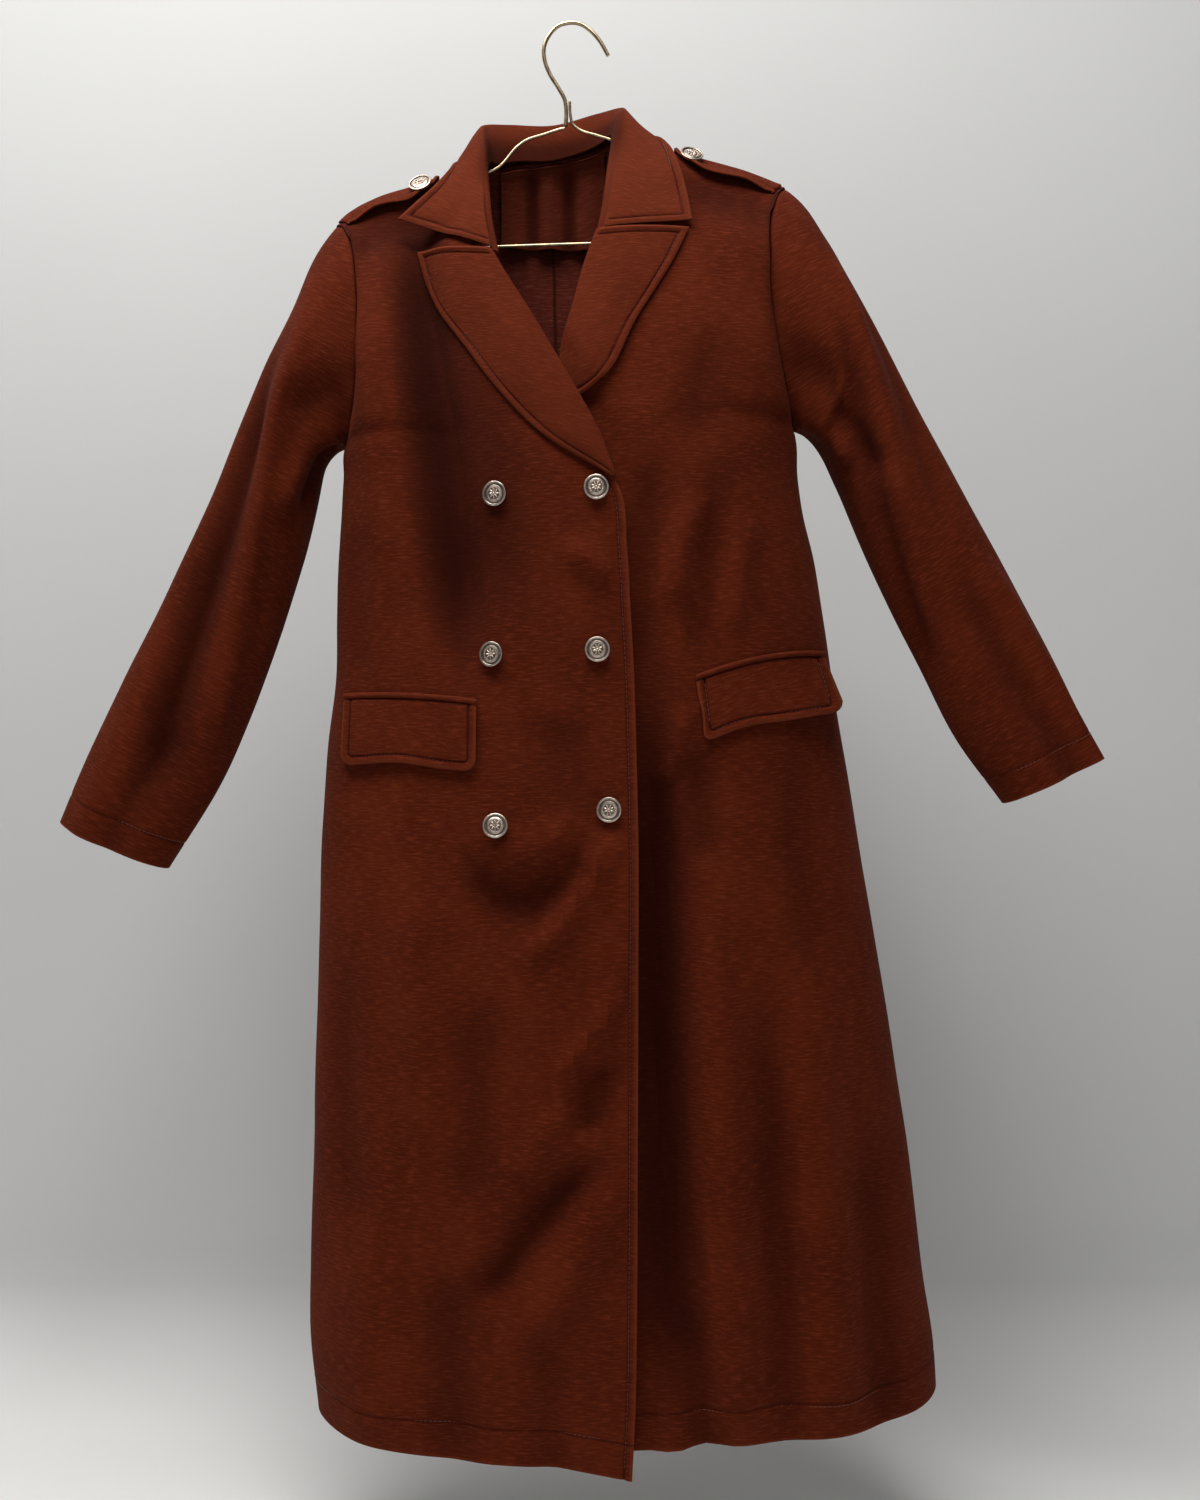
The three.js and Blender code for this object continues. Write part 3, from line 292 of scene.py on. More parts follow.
def make_panel(side, facing, chest, inner, hem, folds, settle=None):
    depth = "front" if facing < 0 else "back"
    steps = len(BODY["level"])
    seam = inner == "seam"
    reach = chest["reach"]
    if facing > 0:
        reach = np.maximum(reach, np.abs(chest["peak"] - chest["seam"]) * BACK_REACH)
    rows = {
        "level": [chest["level"], BODY["level"]],
        "share": [chest["share"], np.zeros(steps)],
        "inner": [chest["seam"] if seam else chest["inner"], BODY[inner]],
        "outer": [chest["outer"], BODY["right" if side < 0 else "left"]],
        "edge": [chest["edge"], np.zeros(steps)],
        "full": [chest[depth], BODY[depth]],
        "peak": [chest["peak"], (BODY["right"] + BODY["left"]) / 2],
        "reach": [reach, (BODY["left"] - BODY["right"]) / 2],
    }
    read = reader({name: np.concatenate(parts) for name, parts in rows.items()}, "level")
    top = chest["level"][0]
    hem_at = curve(hem["x"], hem["rise"])

    def height(x, level, share):
        hang = ease(HEM_FADE, HEM_LEVEL, level) * hem_at(x)
        return level + np.maximum(0, share) * (shoulder_at(x) - top) + hang

    def point(x, level):
        x, level = np.broadcast_arrays(np.asarray(x, float), np.asarray(level, float))
        row = read(level)
        beyond = (x - row["peak"]) * side
        wide = np.where(beyond > 0, (row["outer"] - row["peak"]) * side, row["reach"])
        t = np.clip(np.abs(beyond) / wide, 0, 1)
        turn = t ** (ROUND / 2)
        z = height(x, level, row["share"])
        fold = fold_height(folds, x, z) * ease(1, FOLD_SIDE, t)
        edge = np.maximum(0, row["edge"])
        out = edge + np.maximum(0, row["full"] - edge) * (1 - t ** ROUND) ** (1 / ROUND)
        if facing > 0:
            near = np.clip(np.abs(x - NECK_X) / NECK_HALF_WIDTH, 0, 1)
            out = out + NECK_DEPTH * np.sqrt(1 - near * near) * np.exp((level - top) / NECK_FADE)
        out = out + np.sqrt(1 - turn * turn) * fold
        points = np.stack([x + np.sign(beyond) * side * turn * fold, facing * out, z], -1)
        return settle(points) if settle else points

    def level_at(x, z):
        high = np.full(np.shape(x), float(top))
        low = np.full(np.shape(x), float(HEM_LEVEL - HEM_ROOM))
        share_at = curve(np.concatenate(rows["level"]), np.concatenate(rows["share"]))
        for _ in range(HALVINGS):
            middle = (high + low) / 2
            above = height(x, middle, share_at(middle)) > z
            high = np.where(above, middle, high)
            low = np.where(above, low, middle)
        return (high + low) / 2

    def at(x, z):
        x, z = np.broadcast_arrays(np.asarray(x, float), np.asarray(z, float))
        return point(x, level_at(x, z))

    def outward(x, z):
        across = at(x + PROBE, z) - at(x - PROBE, z)
        down = at(x, z - PROBE) - at(x, z + PROBE)
        normal = unit(np.cross(across, down))
        return normal * np.where(normal[..., 1:2] * facing < 0, -1, 1)

    def lifted(x, z, lift):
        return at(x, z) + outward(x, z) * np.asarray(lift, float)[..., None]

    return SimpleNamespace(
        side=side, facing=facing, read=read, point=point, at=at, outward=outward, lifted=lifted,
        top=top, chest=chest["level"], folds=folds)


# %% [markdown]
# The wearer's right front lies over the left one. Both could be the same oval, but then they would cut
# through each other, so the left front is tucked behind a plain copy of the right one wherever they
# overlap, with more room where the folds are deep.

# %% The four panels
TUCK_RUN, TUCK_IN, TUCK_EDGE = 40, 8, 8
TUCK_EDGE_START, TUCK_EDGE_FULL = -55, -85
TUCK_START, TUCK_FULL = -285, -328
TUCK = table("z room", [
    (-300, 9), (-420, 9), (-500, 6.5), (-700, 8), (-790, 13), (-1000, 14), (-1310, 12),
])
tuck_at = curve(TUCK["z"], TUCK["room"])
FIRST_LEVEL_OF_EDGE = 5
upper_edge_at = curve(
    np.concatenate([CHEST_RIGHT["level"][FIRST_LEVEL_OF_EDGE:], BODY["level"]]),
    np.concatenate([CHEST_RIGHT["inner"][FIRST_LEVEL_OF_EDGE:], BODY["edge"]]),
)

front_right = make_panel(-1, -1, CHEST_RIGHT, "edge", HEM_FRONT_RIGHT, FOLDS_FRONT_RIGHT)
plain_right = make_panel(-1, -1, CHEST_RIGHT, "edge", HEM_FRONT_RIGHT, [])


def tuck_under(points):
    x, y, z = points[..., 0], points[..., 1], points[..., 2]
    edge = upper_edge_at(z)
    under = ease(edge + TUCK_RUN, edge + TUCK_IN, x) * ease(TUCK_START, TUCK_FULL, z)
    trough = np.minimum(0, fold_height(FOLDS_FRONT_LEFT, x, z))
    over = np.minimum(0, fold_height(FOLDS_FRONT_RIGHT, x, z))
    behind = plain_right.at(x, z)[..., 1] + tuck_at(z) - trough - over
    behind = behind + TUCK_EDGE * ease(TUCK_EDGE_START, TUCK_EDGE_FULL, x)
    return np.stack([x, np.where(under > 0, mix(y, behind, under), y), z], -1)


front_left = make_panel(1, -1, CHEST_LEFT, "under", HEM_FRONT_LEFT, FOLDS_FRONT_LEFT, tuck_under)
back_right = make_panel(-1, 1, CHEST_RIGHT, "seam", HEM_BACK, FOLDS_BACK)
back_left = make_panel(1, 1, CHEST_LEFT, "seam", HEM_BACK, FOLDS_BACK)
print("Hem at the front edge, mm:", np.round(front_right.point(54, HEM_LEVEL), 1))

# %% [markdown]
# The coat's cloth is a thick felted wool. Seen close, it has short slubs that run across, a fine felted
# grain, a few pills and a matt surface with a soft sheen. Turned edges are paler, partly because they are
# worn and partly as a painted highlight where they catch the light, and the lines of stitching are darker.
# The pattern could come from a picture, but noise textures on the cloth's own UV map, which is in metres,
# give it at its real size everywhere. Wear with painted highlight, sewing and painted shade in troughs are
# written on a piece's mesh as attributes. Little light gets into a deep fold of such a cloth, so its troughs
# are tinted darker too, as painted shade. The collar and lapels are painted paler all over, as painted light.

# %% Helpers for materials
class Surface:
    """A new material, with short ways to add nodes to it."""

    def __init__(self, name):
        self.material = bpy.data.materials.new(name)
        self.material.use_nodes = True
        self.nodes = self.material.node_tree.nodes
        self.shader = self.nodes["Principled BSDF"]

    def link(self, output, socket):
        self.material.node_tree.links.new(output, socket)

    def add(self, kind, inputs=None, **settings):
        """A node with its settings, and each of its inputs either linked or set."""
        made = self.nodes.new(kind)
        for name, value in settings.items():
            setattr(made, name, value)
        for key, value in (inputs or {}).items():
            if isinstance(value, bpy.types.NodeSocket):
                self.link(value, made.inputs[key])
            else:
                made.inputs[key].default_value = value
        return made

    def place(self):
        return self.add("ShaderNodeTexCoord").outputs["Object"]

    def mark(self, name):
        """What is written on the mesh under that name."""
        return self.add("ShaderNodeAttribute", attribute_name=name).outputs["Fac"]

    def noise(self, space, scale, detail):
        made = self.add("ShaderNodeTexNoise", {"Vector": space, "Scale": scale, "Detail": detail})
        return made.outputs["Fac"]

    def grains(self, space, across, along, detail, seed):
        """Noise whose grains are 1/across by 1/along metres."""
        moved = self.add("ShaderNodeMapping", {
            "Vector": space, "Scale": (across, along, across), "Location": (seed, seed * 0.7, 0)})
        made = self.add("ShaderNodeTexNoise", {
            "Vector": moved.outputs[0], "Scale": 1.0, "Detail": detail, "Roughness": 0.6})
        return made.outputs["Fac"]

    def ranged(self, value, low, high, to_low=0, to_high=1):
        made = self.add("ShaderNodeMapRange", {
            "Value": value, "From Min": low, "From Max": high, "To Min": to_low, "To Max": to_high})
        return made.outputs[0]

    def sums(self, first, second, how="ADD"):
        return self.add("ShaderNodeMath", {0: first, 1: second}, operation=how).outputs[0]

    def times(self, value, factor):
        return self.sums(value, factor, "MULTIPLY")

    def tinted(self, factor, first, second):
        made = self.add("ShaderNodeMix", {0: factor, 6: first, 7: second}, data_type="RGBA")
        return made.outputs[2]

    def relief(self, height, strength, distance):
        made = self.add("ShaderNodeBump", {"Height": height, "Strength": strength, "Distance": distance})
        self.link(made.outputs[0], self.shader.inputs["Normal"])

    def finished(self, colour, **values):
        """The material with its colour linked and its other sockets set or linked."""
        self.link(colour, self.shader.inputs["Base Color"])
        for name, value in values.items():
            socket = self.shader.inputs[name.replace("_", " ")]
            if isinstance(value, bpy.types.NodeSocket):
                self.link(value, socket)
            else:
                socket.default_value = value
        return self.material


# %% The cloth
# Each grain: how many across and along a metre, its detail and its seed.
MOTTLE, SLUBS = (14, 11, 4, 3.1), (85, 640, 3, 7.3)
GRAIN, PILL_PATCHES = (1150, 1500, 4, 1.7), (60, 60, 3, 9.9)
PILLS_PER_METRE, RIB_SPREAD = 330, 60
GROOVE_AND_SHADE_TINT = (0.3, 0.21, 0.18)
SHEEN_TINT = (0.80, 0.26, 0.14, 1)


def cloth_material(name, base, dark, pale, worn_and_lit, ribs, relief, sheen):
    cloth = Surface(name)
    space = cloth.add("ShaderNodeUVMap", uv_map="cloth").outputs[0]
    mottle, slubs, grain, patches = [
        cloth.grains(space, *sort) for sort in (MOTTLE, SLUBS, GRAIN, PILL_PATCHES)]
    scaled = cloth.add("ShaderNodeMapping", {"Vector": space, "Scale": (PILLS_PER_METRE,) * 3})
    pills = cloth.add("ShaderNodeTexVoronoi", {
        "Vector": scaled.outputs[0], "Scale": 1.0, "Randomness": 1.0}).outputs["Distance"]
    pill = cloth.times(cloth.ranged(pills, 0.28, 0.1), cloth.ranged(patches, 0.56, 0.68))
    ribbed = cloth.add("ShaderNodeMapping", {"Vector": space, "Scale": (RIB_SPREAD, ribs, RIB_SPREAD)})
    rib = cloth.add("ShaderNodeTexWave", {
        "Vector": ribbed.outputs[0], "Scale": 1.0, "Distortion": 2.5, "Detail": 2.0},
        bands_direction="Y").outputs["Fac"]

    tone = cloth.tinted(cloth.ranged(mottle, 0.3, 0.7), dark, base)
    # deep is the darker colour of the stitched grooves and of the painted shade in troughs.
    deep = (*(shade * share for shade, share in zip(dark, GROOVE_AND_SHADE_TINT)), 1)
    # The last three layers paint wear with a painted highlight, darker stitched grooves and painted shade in
    # troughs.
    for share, colour in (
            (cloth.ranged(slubs, 0.50, 0.70, 0, 0.6), pale), (cloth.ranged(slubs, 0.46, 0.30, 0, 0.6), dark),
            (cloth.ranged(grain, 0.45, 0.72, 0, 0.4), pale), (cloth.times(pill, 0.45), pale),
            (cloth.times(cloth.mark("wear"), 0.5), worn_and_lit), (cloth.times(cloth.mark("groove"), 0.8), deep),
            (cloth.times(cloth.mark("painted_shade"), 0.92), deep)):
        tone = cloth.tinted(share, tone, colour)

    height = cloth.times(slubs, 0.9)
    for pattern, high in ((grain, 0.55), (pill, 0.8), (rib, 0.25)):
        height = cloth.sums(height, cloth.times(pattern, high))
    cloth.relief(height, relief, 0.0006)
    return cloth.finished(
        tone, Roughness=cloth.ranged(slubs, 0.2, 0.8, 0.98, 0.86), Specular_IOR_Level=0.08,
        Sheen_Weight=sheen, Sheen_Roughness=0.42, Sheen_Tint=SHEEN_TINT)


coat_cloth = cloth_material(
    "coat_cloth", (0.103, 0.0136, 0.0034, 1), (0.062, 0.0066, 0.0013, 1), (0.200, 0.034, 0.0110, 1),
    (0.220, 0.045, 0.0180, 1), 520, 0.8, 0.05)
wrong_side = cloth_material(
    "cloth_wrong_side", (0.150, 0.025, 0.014, 1), (0.080, 0.012, 0.007, 1), (0.300, 0.075, 0.048, 1),
    (0.20, 0.05, 0.03, 1), 560, 1.0, 0.10)
facing_cloth = cloth_material(
    "facing_cloth", (0.180, 0.032, 0.015, 1), (0.105, 0.016, 0.007, 1), (0.26, 0.056, 0.028, 1),
    (0.24, 0.06, 0.03, 1), 700, 0.4, 0.12)
print("Cloth materials:", coat_cloth.name, wrong_side.name, facing_cloth.name)

# %% [markdown]
# Every piece of cloth starts as a grid of points on its outside. Solidify gives it its thickness, as the
# two faces of one cloth, and a small bevel rounds the cut edges. The inside gets the cloth's wrong side
# as a second material. Before that, the points are moved a little: cloth that is turned in and sewn has
# a soft roll at its edge with a stitched groove beside it, and a seam lies in a small valley.

# %% From a grid of points to a piece of cloth
STITCH_IN = 7.2
ROLL_AT, ROLL_WIDE, ROLL_HIGH = 2.8, 2.4, 1.15
GROOVE_WIDE, GROOVE_DEEP, GROOVE_MARK = 0.95, 1.0, 0.8
SEAM_WIDE, SEAM_DEEP, SEAM_MARK = 2.4, 1.2, 1.1
HEM_IN, HEM_WIDE, HEM_DEEP, HEM_MARK, HEM_WEAR_AND_HIGHLIGHT = 31, 1.4, 0.55, 0.9, 1.8
WEAR_AND_HIGHLIGHT_AT, WEAR_AND_HIGHLIGHT_WIDE = 1.0, 1.7
CUT_EDGE = 0.3
NEAR_EDGE = np.array([0, 0.7, 1.5, 2.5, 3.6, 4.7, 5.7, 6.4, 6.8, 7.2, 7.6, 8.0, 8.7, 9.8, 11.5, 14])


def closest(values, wanted):
    """The place in a row of values of the one that is closest."""
    return int(np.argmin(np.abs(values - wanted)))


AT_START = closest(NEAR_EDGE, STITCH_IN)
AT_END = -1 - AT_START


def way_out(grid, closed, sign):
    """The normals of a grid of points."""
    across = np.roll(grid, -1, 1) - np.roll(grid, 1, 1) if closed else np.gradient(grid, axis=1)
    return unit(np.cross(across, np.gradient(grid, axis=0)) * sign)


def run_length(grid, axis):
    """How far each point lies from the first one, along the rows or the columns."""
    steps = np.linalg.norm(np.diff(grid, axis=axis), axis=-1)
    start = np.zeros_like(np.take(steps, [0], axis=axis))
    return np.concatenate([start, np.cumsum(steps, axis=axis)], axis=axis)


def from_sides(grid):
    """Each point's distance from the top, the bottom, the first and the last side, in mm."""
    down, along = run_length(grid, 0), run_length(grid, 1)
    return SimpleNamespace(
        top=down, bottom=down[-1:] - down, first=along, last=along[:, -1:] - along)


def nearest(*distances):
    return np.minimum.reduce(np.broadcast_arrays(*distances))


class Finish:
    """How the edges of a piece are finished: what its points move by, where it's worn and painted with a
    highlight, where it's sewn, and its painted shade in troughs.
    """

    def __init__(self, grid):
        self.lift, self.wear, self.groove, self.painted_shade = np.zeros((4, *grid.shape[:2]))

    def marked(self, wear=0, groove=0):
        self.wear, self.groove = np.maximum(self.wear, wear), np.maximum(self.groove, groove)
        return self

    def rolled(self, distance, high=1.0):
        groove = bell(distance - STITCH_IN, GROOVE_WIDE)
        self.lift = self.lift + ROLL_HIGH * high * bell(distance - ROLL_AT, ROLL_WIDE) - GROOVE_DEEP * groove
        # The pale band by the edge is partly wear and partly a painted highlight where the roll catches the
        # light.
        return self.marked(bell(distance - WEAR_AND_HIGHLIGHT_AT, WEAR_AND_HIGHLIGHT_WIDE), bell(distance - STITCH_IN, GROOVE_MARK))

    def seamed(self, distance, deep=1.0):
        self.lift = self.lift - SEAM_DEEP * deep * bell(distance, SEAM_WIDE)
        return self.marked(groove=0.8 * bell(distance, SEAM_MARK))

    def hemmed(self, distance, at=HEM_IN):
        self.lift = self.lift - HEM_DEEP * bell(distance - at, HEM_WIDE)
        # The pale band at the hem's edge is partly wear and partly a painted highlight.
        return self.marked(0.7 * bell(distance, HEM_WEAR_AND_HIGHLIGHT), 0.75 * bell(distance - at, HEM_MARK))


def select_only(*objects):
    bpy.ops.object.select_all(action="DESELECT")
    for each in objects:
        each.select_set(True)
    bpy.context.view_layer.objects.active = objects[0]


def apply_modifier(piece, kind, **settings):
    """Adds a modifier, sets it and applies it."""
    made = piece.modifiers.new(kind.title(), kind)
    for name, value in settings.items():
        setattr(made, name, value)
    select_only(piece)
    bpy.ops.object.modifier_apply(modifier=made.name)


def bevelled(piece, width, segments, angle, **settings):
    """Rounds the edges that are sharper than the angle."""
    apply_modifier(
        piece, "BEVEL", width=width, segments=segments, limit_method="ANGLE",
        angle_limit=math.radians(angle), **settings)


def smooth_below(angle):
    bpy.ops.object.shade_smooth_by_angle(angle=math.radians(angle))


def new_object(name, data):
    made = bpy.data.objects.new(name, data)
    bpy.context.collection.objects.link(made)
    return made


def mode(name):
    bpy.ops.object.mode_set(mode=name)


def corners_of(left, right, sign):
    """What belongs to the four corners of each face, from what belongs to the points."""
    corners = [left[:-1], right[:-1], right[1:], left[1:]]
    if sign < 0:
        corners = [corners[k] for k in (0, 3, 2, 1)]
    return np.stack(corners, 2)


def cloth_piece(name, grid, thickness, sign, materials, finish, closed=False, spread=None):
    """A piece of cloth from the points of its outside. Rows run down and columns run across."""
    rows, columns = grid.shape[:2]
    outside = grid + way_out(grid, closed, sign) * finish.lift[..., None]
    index = np.arange(rows * columns).reshape(rows, columns)
    beside = np.roll(index, -1, 1) if closed else index[:, 1:]
    here = index if closed else index[:, :-1]
    faces = corners_of(here, beside, sign).reshape(-1, 4)

    mesh = bpy.data.meshes.new(name)
    mesh.from_pydata((outside.reshape(-1, 3) * MM).tolist(), [], faces.tolist())
    if spread is None:
        spread = np.stack([run_length(grid, 1), -run_length(grid, 0)], -1)
    places = corners_of(spread[:, :-1], spread[:, 1:], sign).reshape(-1, 2)
    pattern = mesh.uv_layers.new(name="cloth")
    pattern.uv.foreach_set("vector", (places * MM).ravel())
    for mark in ("wear", "groove", "painted_shade"):
        values = getattr(finish, mark).ravel()
        mesh.attributes.new(mark, "FLOAT", "POINT").data.foreach_set("value", values)
    for material in materials:
        mesh.materials.append(material)

    piece = new_object(name + "_cloth", mesh)
    apply_modifier(
        piece, "SOLIDIFY", thickness=thickness * MM, offset=-1, use_rim=True,
        material_offset=1 if len(materials) > 1 else 0)
    bevelled(piece, thickness * MM * CUT_EDGE, 2, 50, use_clamp_overlap=True)
    bpy.ops.object.shade_smooth()
    return piece


# %% [markdown]
# Stitches hold the edges. Each one is a short thread that dips into the cloth at both ends. One is
# shaped from a small cube, and copies of it are laid in the groove by arithmetic, because a row of
# stitches is the same thing hundreds of times. The stitches of a piece are one object of its own.

# %% One stitch, and rows of them
STITCH_LONG, STITCH_PITCH, THREAD, THREAD_ROUND = 3.1, 4.2, 0.5, 0.16
IN_GROOVE, IN_HEM, IN_CUFF = -GROOVE_DEEP + 0.15, -0.5, -0.4


def model_stitch():
    bpy.ops.mesh.primitive_cube_add(size=1, location=(0, 0, 0))
    stitch = bpy.context.object
    mode("EDIT")
    bpy.ops.transform.resize(value=(STITCH_LONG, THREAD, THREAD))
    bpy.ops.mesh.bevel(offset=THREAD_ROUND, segments=1, affect="EDGES")
    mode("OBJECT")
    return stitch


def thread_material():
    made = Surface("thread")
    twist = made.noise(made.place(), 1800, 2)
    made.relief(twist, 0.4, 0.0002)
    tone = made.tinted(twist, (0.10, 0.017, 0.008, 1), (0.19, 0.045, 0.022, 1))
    return made.finished(tone, Roughness=0.7, Sheen_Weight=0.15)


thread = thread_material()
stitch = model_stitch()
STITCH_POINTS = np.array([v.co[:] for v in stitch.data.vertices])
STITCH_FACES = [list(face.vertices) for face in stitch.data.polygons]
bpy.data.objects.remove(stitch)
print("A stitch has", len(STITCH_POINTS), "points and", len(STITCH_FACES), "faces")


def stitch_row(line, out, lift):
    """Frames for the stitches along a line of points, with the ways out of the cloth there."""
    length = run_length(line, 0)
    count = int((length[-1] - STITCH_LONG) / STITCH_PITCH)
    middle = np.arange(count) * STITCH_PITCH + STITCH_PITCH / 2

    def along(values, at):
        return np.stack([np.interp(at, length, values[:, k]) for k in range(3)], -1)

    start, end = along(line, middle - STITCH_LONG / 2), along(line, middle + STITCH_LONG / 2)
    up, ahead = along(out, middle), unit(end - start)
    up = unit(up - ahead * np.sum(up * ahead, axis=1, keepdims=True))
    return (start + end) / 2 + up * lift, ahead, np.cross(up, ahead), up


def stitches(name, grid, sign, rows, closed=False):
    """One object for all the stitches on a piece. Each row is a place on its grid, and a lift."""
    out = way_out(grid, closed, sign)
    points, faces = [], []
    for *place, lift in rows:
        place = tuple(place)
        for m, a, b, u in zip(*stitch_row(grid[place], out[place], lift)):
            first = len(points) * len(STITCH_POINTS)
            points.append(m + STITCH_POINTS @ np.stack([a, b, u]))
            faces += [[first + k for k in face] for face in STITCH_FACES]
    mesh = bpy.data.meshes.new(name)
    mesh.from_pydata((np.concatenate(points) * MM).tolist(), [], faces)
    mesh.materials.append(thread)
    piece = new_object(name, mesh)
    select_only(piece)
    smooth_below(50)
    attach(piece, "root")
    return piece


# %% [markdown]
# The flat size is measured on the grid, as a tailor would measure the pattern piece: its longest row by
# its longest column, and its area.

cut_total = 0.0


def declare_cloth(piece, node, grid, closed=False):
    global cut_total
    shut = np.concatenate([grid, grid[:, :1]], axis=1) if closed else grid
    wide = run_length(shut, 1)[:, -1].max() * MM
    long = run_length(shut, 0)[-1].max() * MM
    one = np.cross(shut[:-1, 1:] - shut[:-1, :-1], shut[1:, :-1] - shut[:-1, :-1])
    two = np.cross(shut[1:, :-1] - shut[1:, 1:], shut[:-1, 1:] - shut[1:, 1:])
    area = (np.linalg.norm(one, axis=-1).sum() + np.linalg.norm(two, axis=-1).sum()) / 2 * MM * MM
    area = min(area, wide * long)
    cut_total += area
    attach(piece, "root")
    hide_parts(node)
    print(f"{piece.name}: cut {wide * 1000:.0f} x {long * 1000:.0f} mm, {area * 1e4:.0f} square cm")


# %% [markdown]
# The fronts and backs are the largest pieces. Their rows follow the levels of the body and their columns
# run from the middle to the side seam. The rows and columns lie close together where a groove or a roll
# has to show, and wider apart in the middle, which keeps the mesh light. A little unevenness is added
# everywhere, because no hanging cloth is quite smooth.

# %% Fronts and backs
SIDE_STEPS, SIDE_SHARE = 58, 0.98
LEVEL_STEP, LEAST_LEVELS, LEVELS_UNDER_ARM = 5.5, 4, 6
NEAR_SIDE = np.array([0.012, 0.008, 0.005, 0.0025, 0])
NEAR_HEM = np.array([40, 36, 33.5, 32.3, 31.6, 31, 30.4, 29.7, 28.5, 26, 21, 16, 11, 7, 4.5, 2.5, 1.2, 0])
SEAM_CLOSED = 0.5
TROUGH_SOFT, CALM_NEAR_EDGE = 14, 30


def sunk(height, soft=TROUGH_SOFT):
    """How much of the light a place in a trough has lost, from 0 to nearly 1."""
    return 1 - np.exp(np.minimum(0, height) / soft)


def unevenness(u, v, seed):
    """Slow shallow waves, as cloth has that hangs under its own weight."""
    first = np.sin(u / 31 + v / 73 + seed) * np.sin(v / 57 - u / 89 + 2 * seed)
    second = np.sin(u / 17 - v / 41 + 3 * seed) * np.sin(v / 29 + u / 23 + seed)
    return 0.7 * first + 0.35 * second


def fine_levels(panel):
    chest = panel.chest
    parts = [np.linspace(a, b, max(LEAST_LEVELS, int((a - b) / LEVEL_STEP)), endpoint=False)
             for a, b in zip(chest[:-1], chest[1:])]
    knee = BODY["level"][0]
    parts.append(np.linspace(chest[-1], knee, LEVELS_UNDER_ARM, endpoint=False))
    near_hem = HEM_LEVEL + NEAR_HEM
    count = int((knee - near_hem[0]) / LEVEL_STEP)
    parts.append(np.linspace(knee, near_hem[0], count, endpoint=False))
    return np.concatenate(parts + [near_hem])


def panel_grid(panel):
    levels = fine_levels(panel)
    row = upright(panel.read(levels))
    side = panel.side
    start = row["inner"] - side * (SEAM_CLOSED if panel.facing > 0 else 0)
    near = start + side * NEAR_EDGE[None, :]
    from_peak = (near[:, -1:] - row["peak"]) * side
    room = (row["outer"] - row["peak"]) * side
    share = np.clip(np.abs(from_peak) / np.where(from_peak > 0, room, row["reach"]), 0, 1)
    first = np.arcsin(np.sign(from_peak) * share ** (ROUND / 2))
    f = np.concatenate([np.linspace(0, SIDE_SHARE, SIDE_STEPS)[1:], 1 - NEAR_SIDE])
    angle = mix(first, math.pi / 2, f[None, :])
    wide = np.where(angle > 0, room, row["reach"])
    beyond = row["peak"] + side * np.sign(angle) * np.abs(np.sin(angle)) ** (2 / ROUND) * wide
    across = np.concatenate([near, beyond], axis=1)
    return panel.point(across, levels[:, None])


def body_panel(name, panel, seed):
    grid = panel_grid(panel)
    sign = panel.side * panel.facing
    sides = from_sides(grid)
    finish = Finish(grid).hemmed(sides.bottom).seamed(sides.last).seamed(sides.top, 0.6)
    if panel.facing < 0:
        finish.rolled(sides.first)
    else:
        finish.seamed(sides.first)
    away = nearest(sides.first, sides.last, sides.top)
    finish.lift += unevenness(sides.first, sides.top, seed) * ease(0, CALM_NEAR_EDGE, away)
    # Painted shade: the troughs of the folds are tinted darker.
    finish.painted_shade = sunk(fold_height(panel.folds, grid[..., 0], grid[..., 2]))
    spread = np.stack([sides.first, grid[..., 2]], -1)
    piece = cloth_piece(name, grid, CLOTH, sign, [coat_cloth, wrong_side], finish, spread=spread)
    levels = fine_levels(panel)
    rows = [(closest(levels, HEM_LEVEL + HEM_IN), slice(4, -4), IN_HEM)]
    if panel.facing < 0:
        below = closest(levels, BODY["level"][1])
        rows.append((slice(below, -3), AT_START, IN_GROOVE))
    sewing = stitches(name + "_stitches", grid, sign, rows)
    declare_cloth(piece, name, grid)
    return grid.shape[:2]


for seed, (name, panel) in enumerate({
    "front_right": front_right, "front_left": front_left,
    "back_right": back_right, "back_left": back_left,
}.items()):
    print(name, "rows and columns of points:", body_panel(name, panel, seed * 1.7 + 0.4))

# %% [markdown]
# A sleeve is a tube that starts as the armhole and turns into an oval. It hangs out from the shoulder,
# so it has a pressed ridge down its front, a broad trough beside it and a few pinches at the armpit.
# Rings of points make the tube, and creases are placed on it by their place along the arm and round it.

# %% Sizes of the sleeves
SLEEVE_COLUMNS = "along outerX outerZ innerX innerZ depth forward blend"
SLEEVE_RIGHT = table(SLEEVE_COLUMNS, [
    (0, -225, -195, -213, -399, 60, 0, 0),
    (0.07, -250, -236, -219, -401, 60, 0, 0.6),
    (0.14, -262, -271, -226, -405, 60, 0, 0.92),
    (0.21, -285, -317, -234, -418, 58, -2, 1),
    (0.29, -308, -370, -241, -447, 55, -4, 1),
    (0.38, -331, -427, -250, -484, 53, -6, 1),
    (0.47, -352, -473, -258, -513, 51, -8, 1),
    (0.58, -382.5, -540.5, -281, -588, 48, -10, 1),
    (0.72, -420, -616, -308, -660, 45, -13, 1),
    (0.86, -447, -673, -333, -718, 42, -16, 1),
    (1, -477.5, -747, -378, -791.5, 40, -18, 1),
])
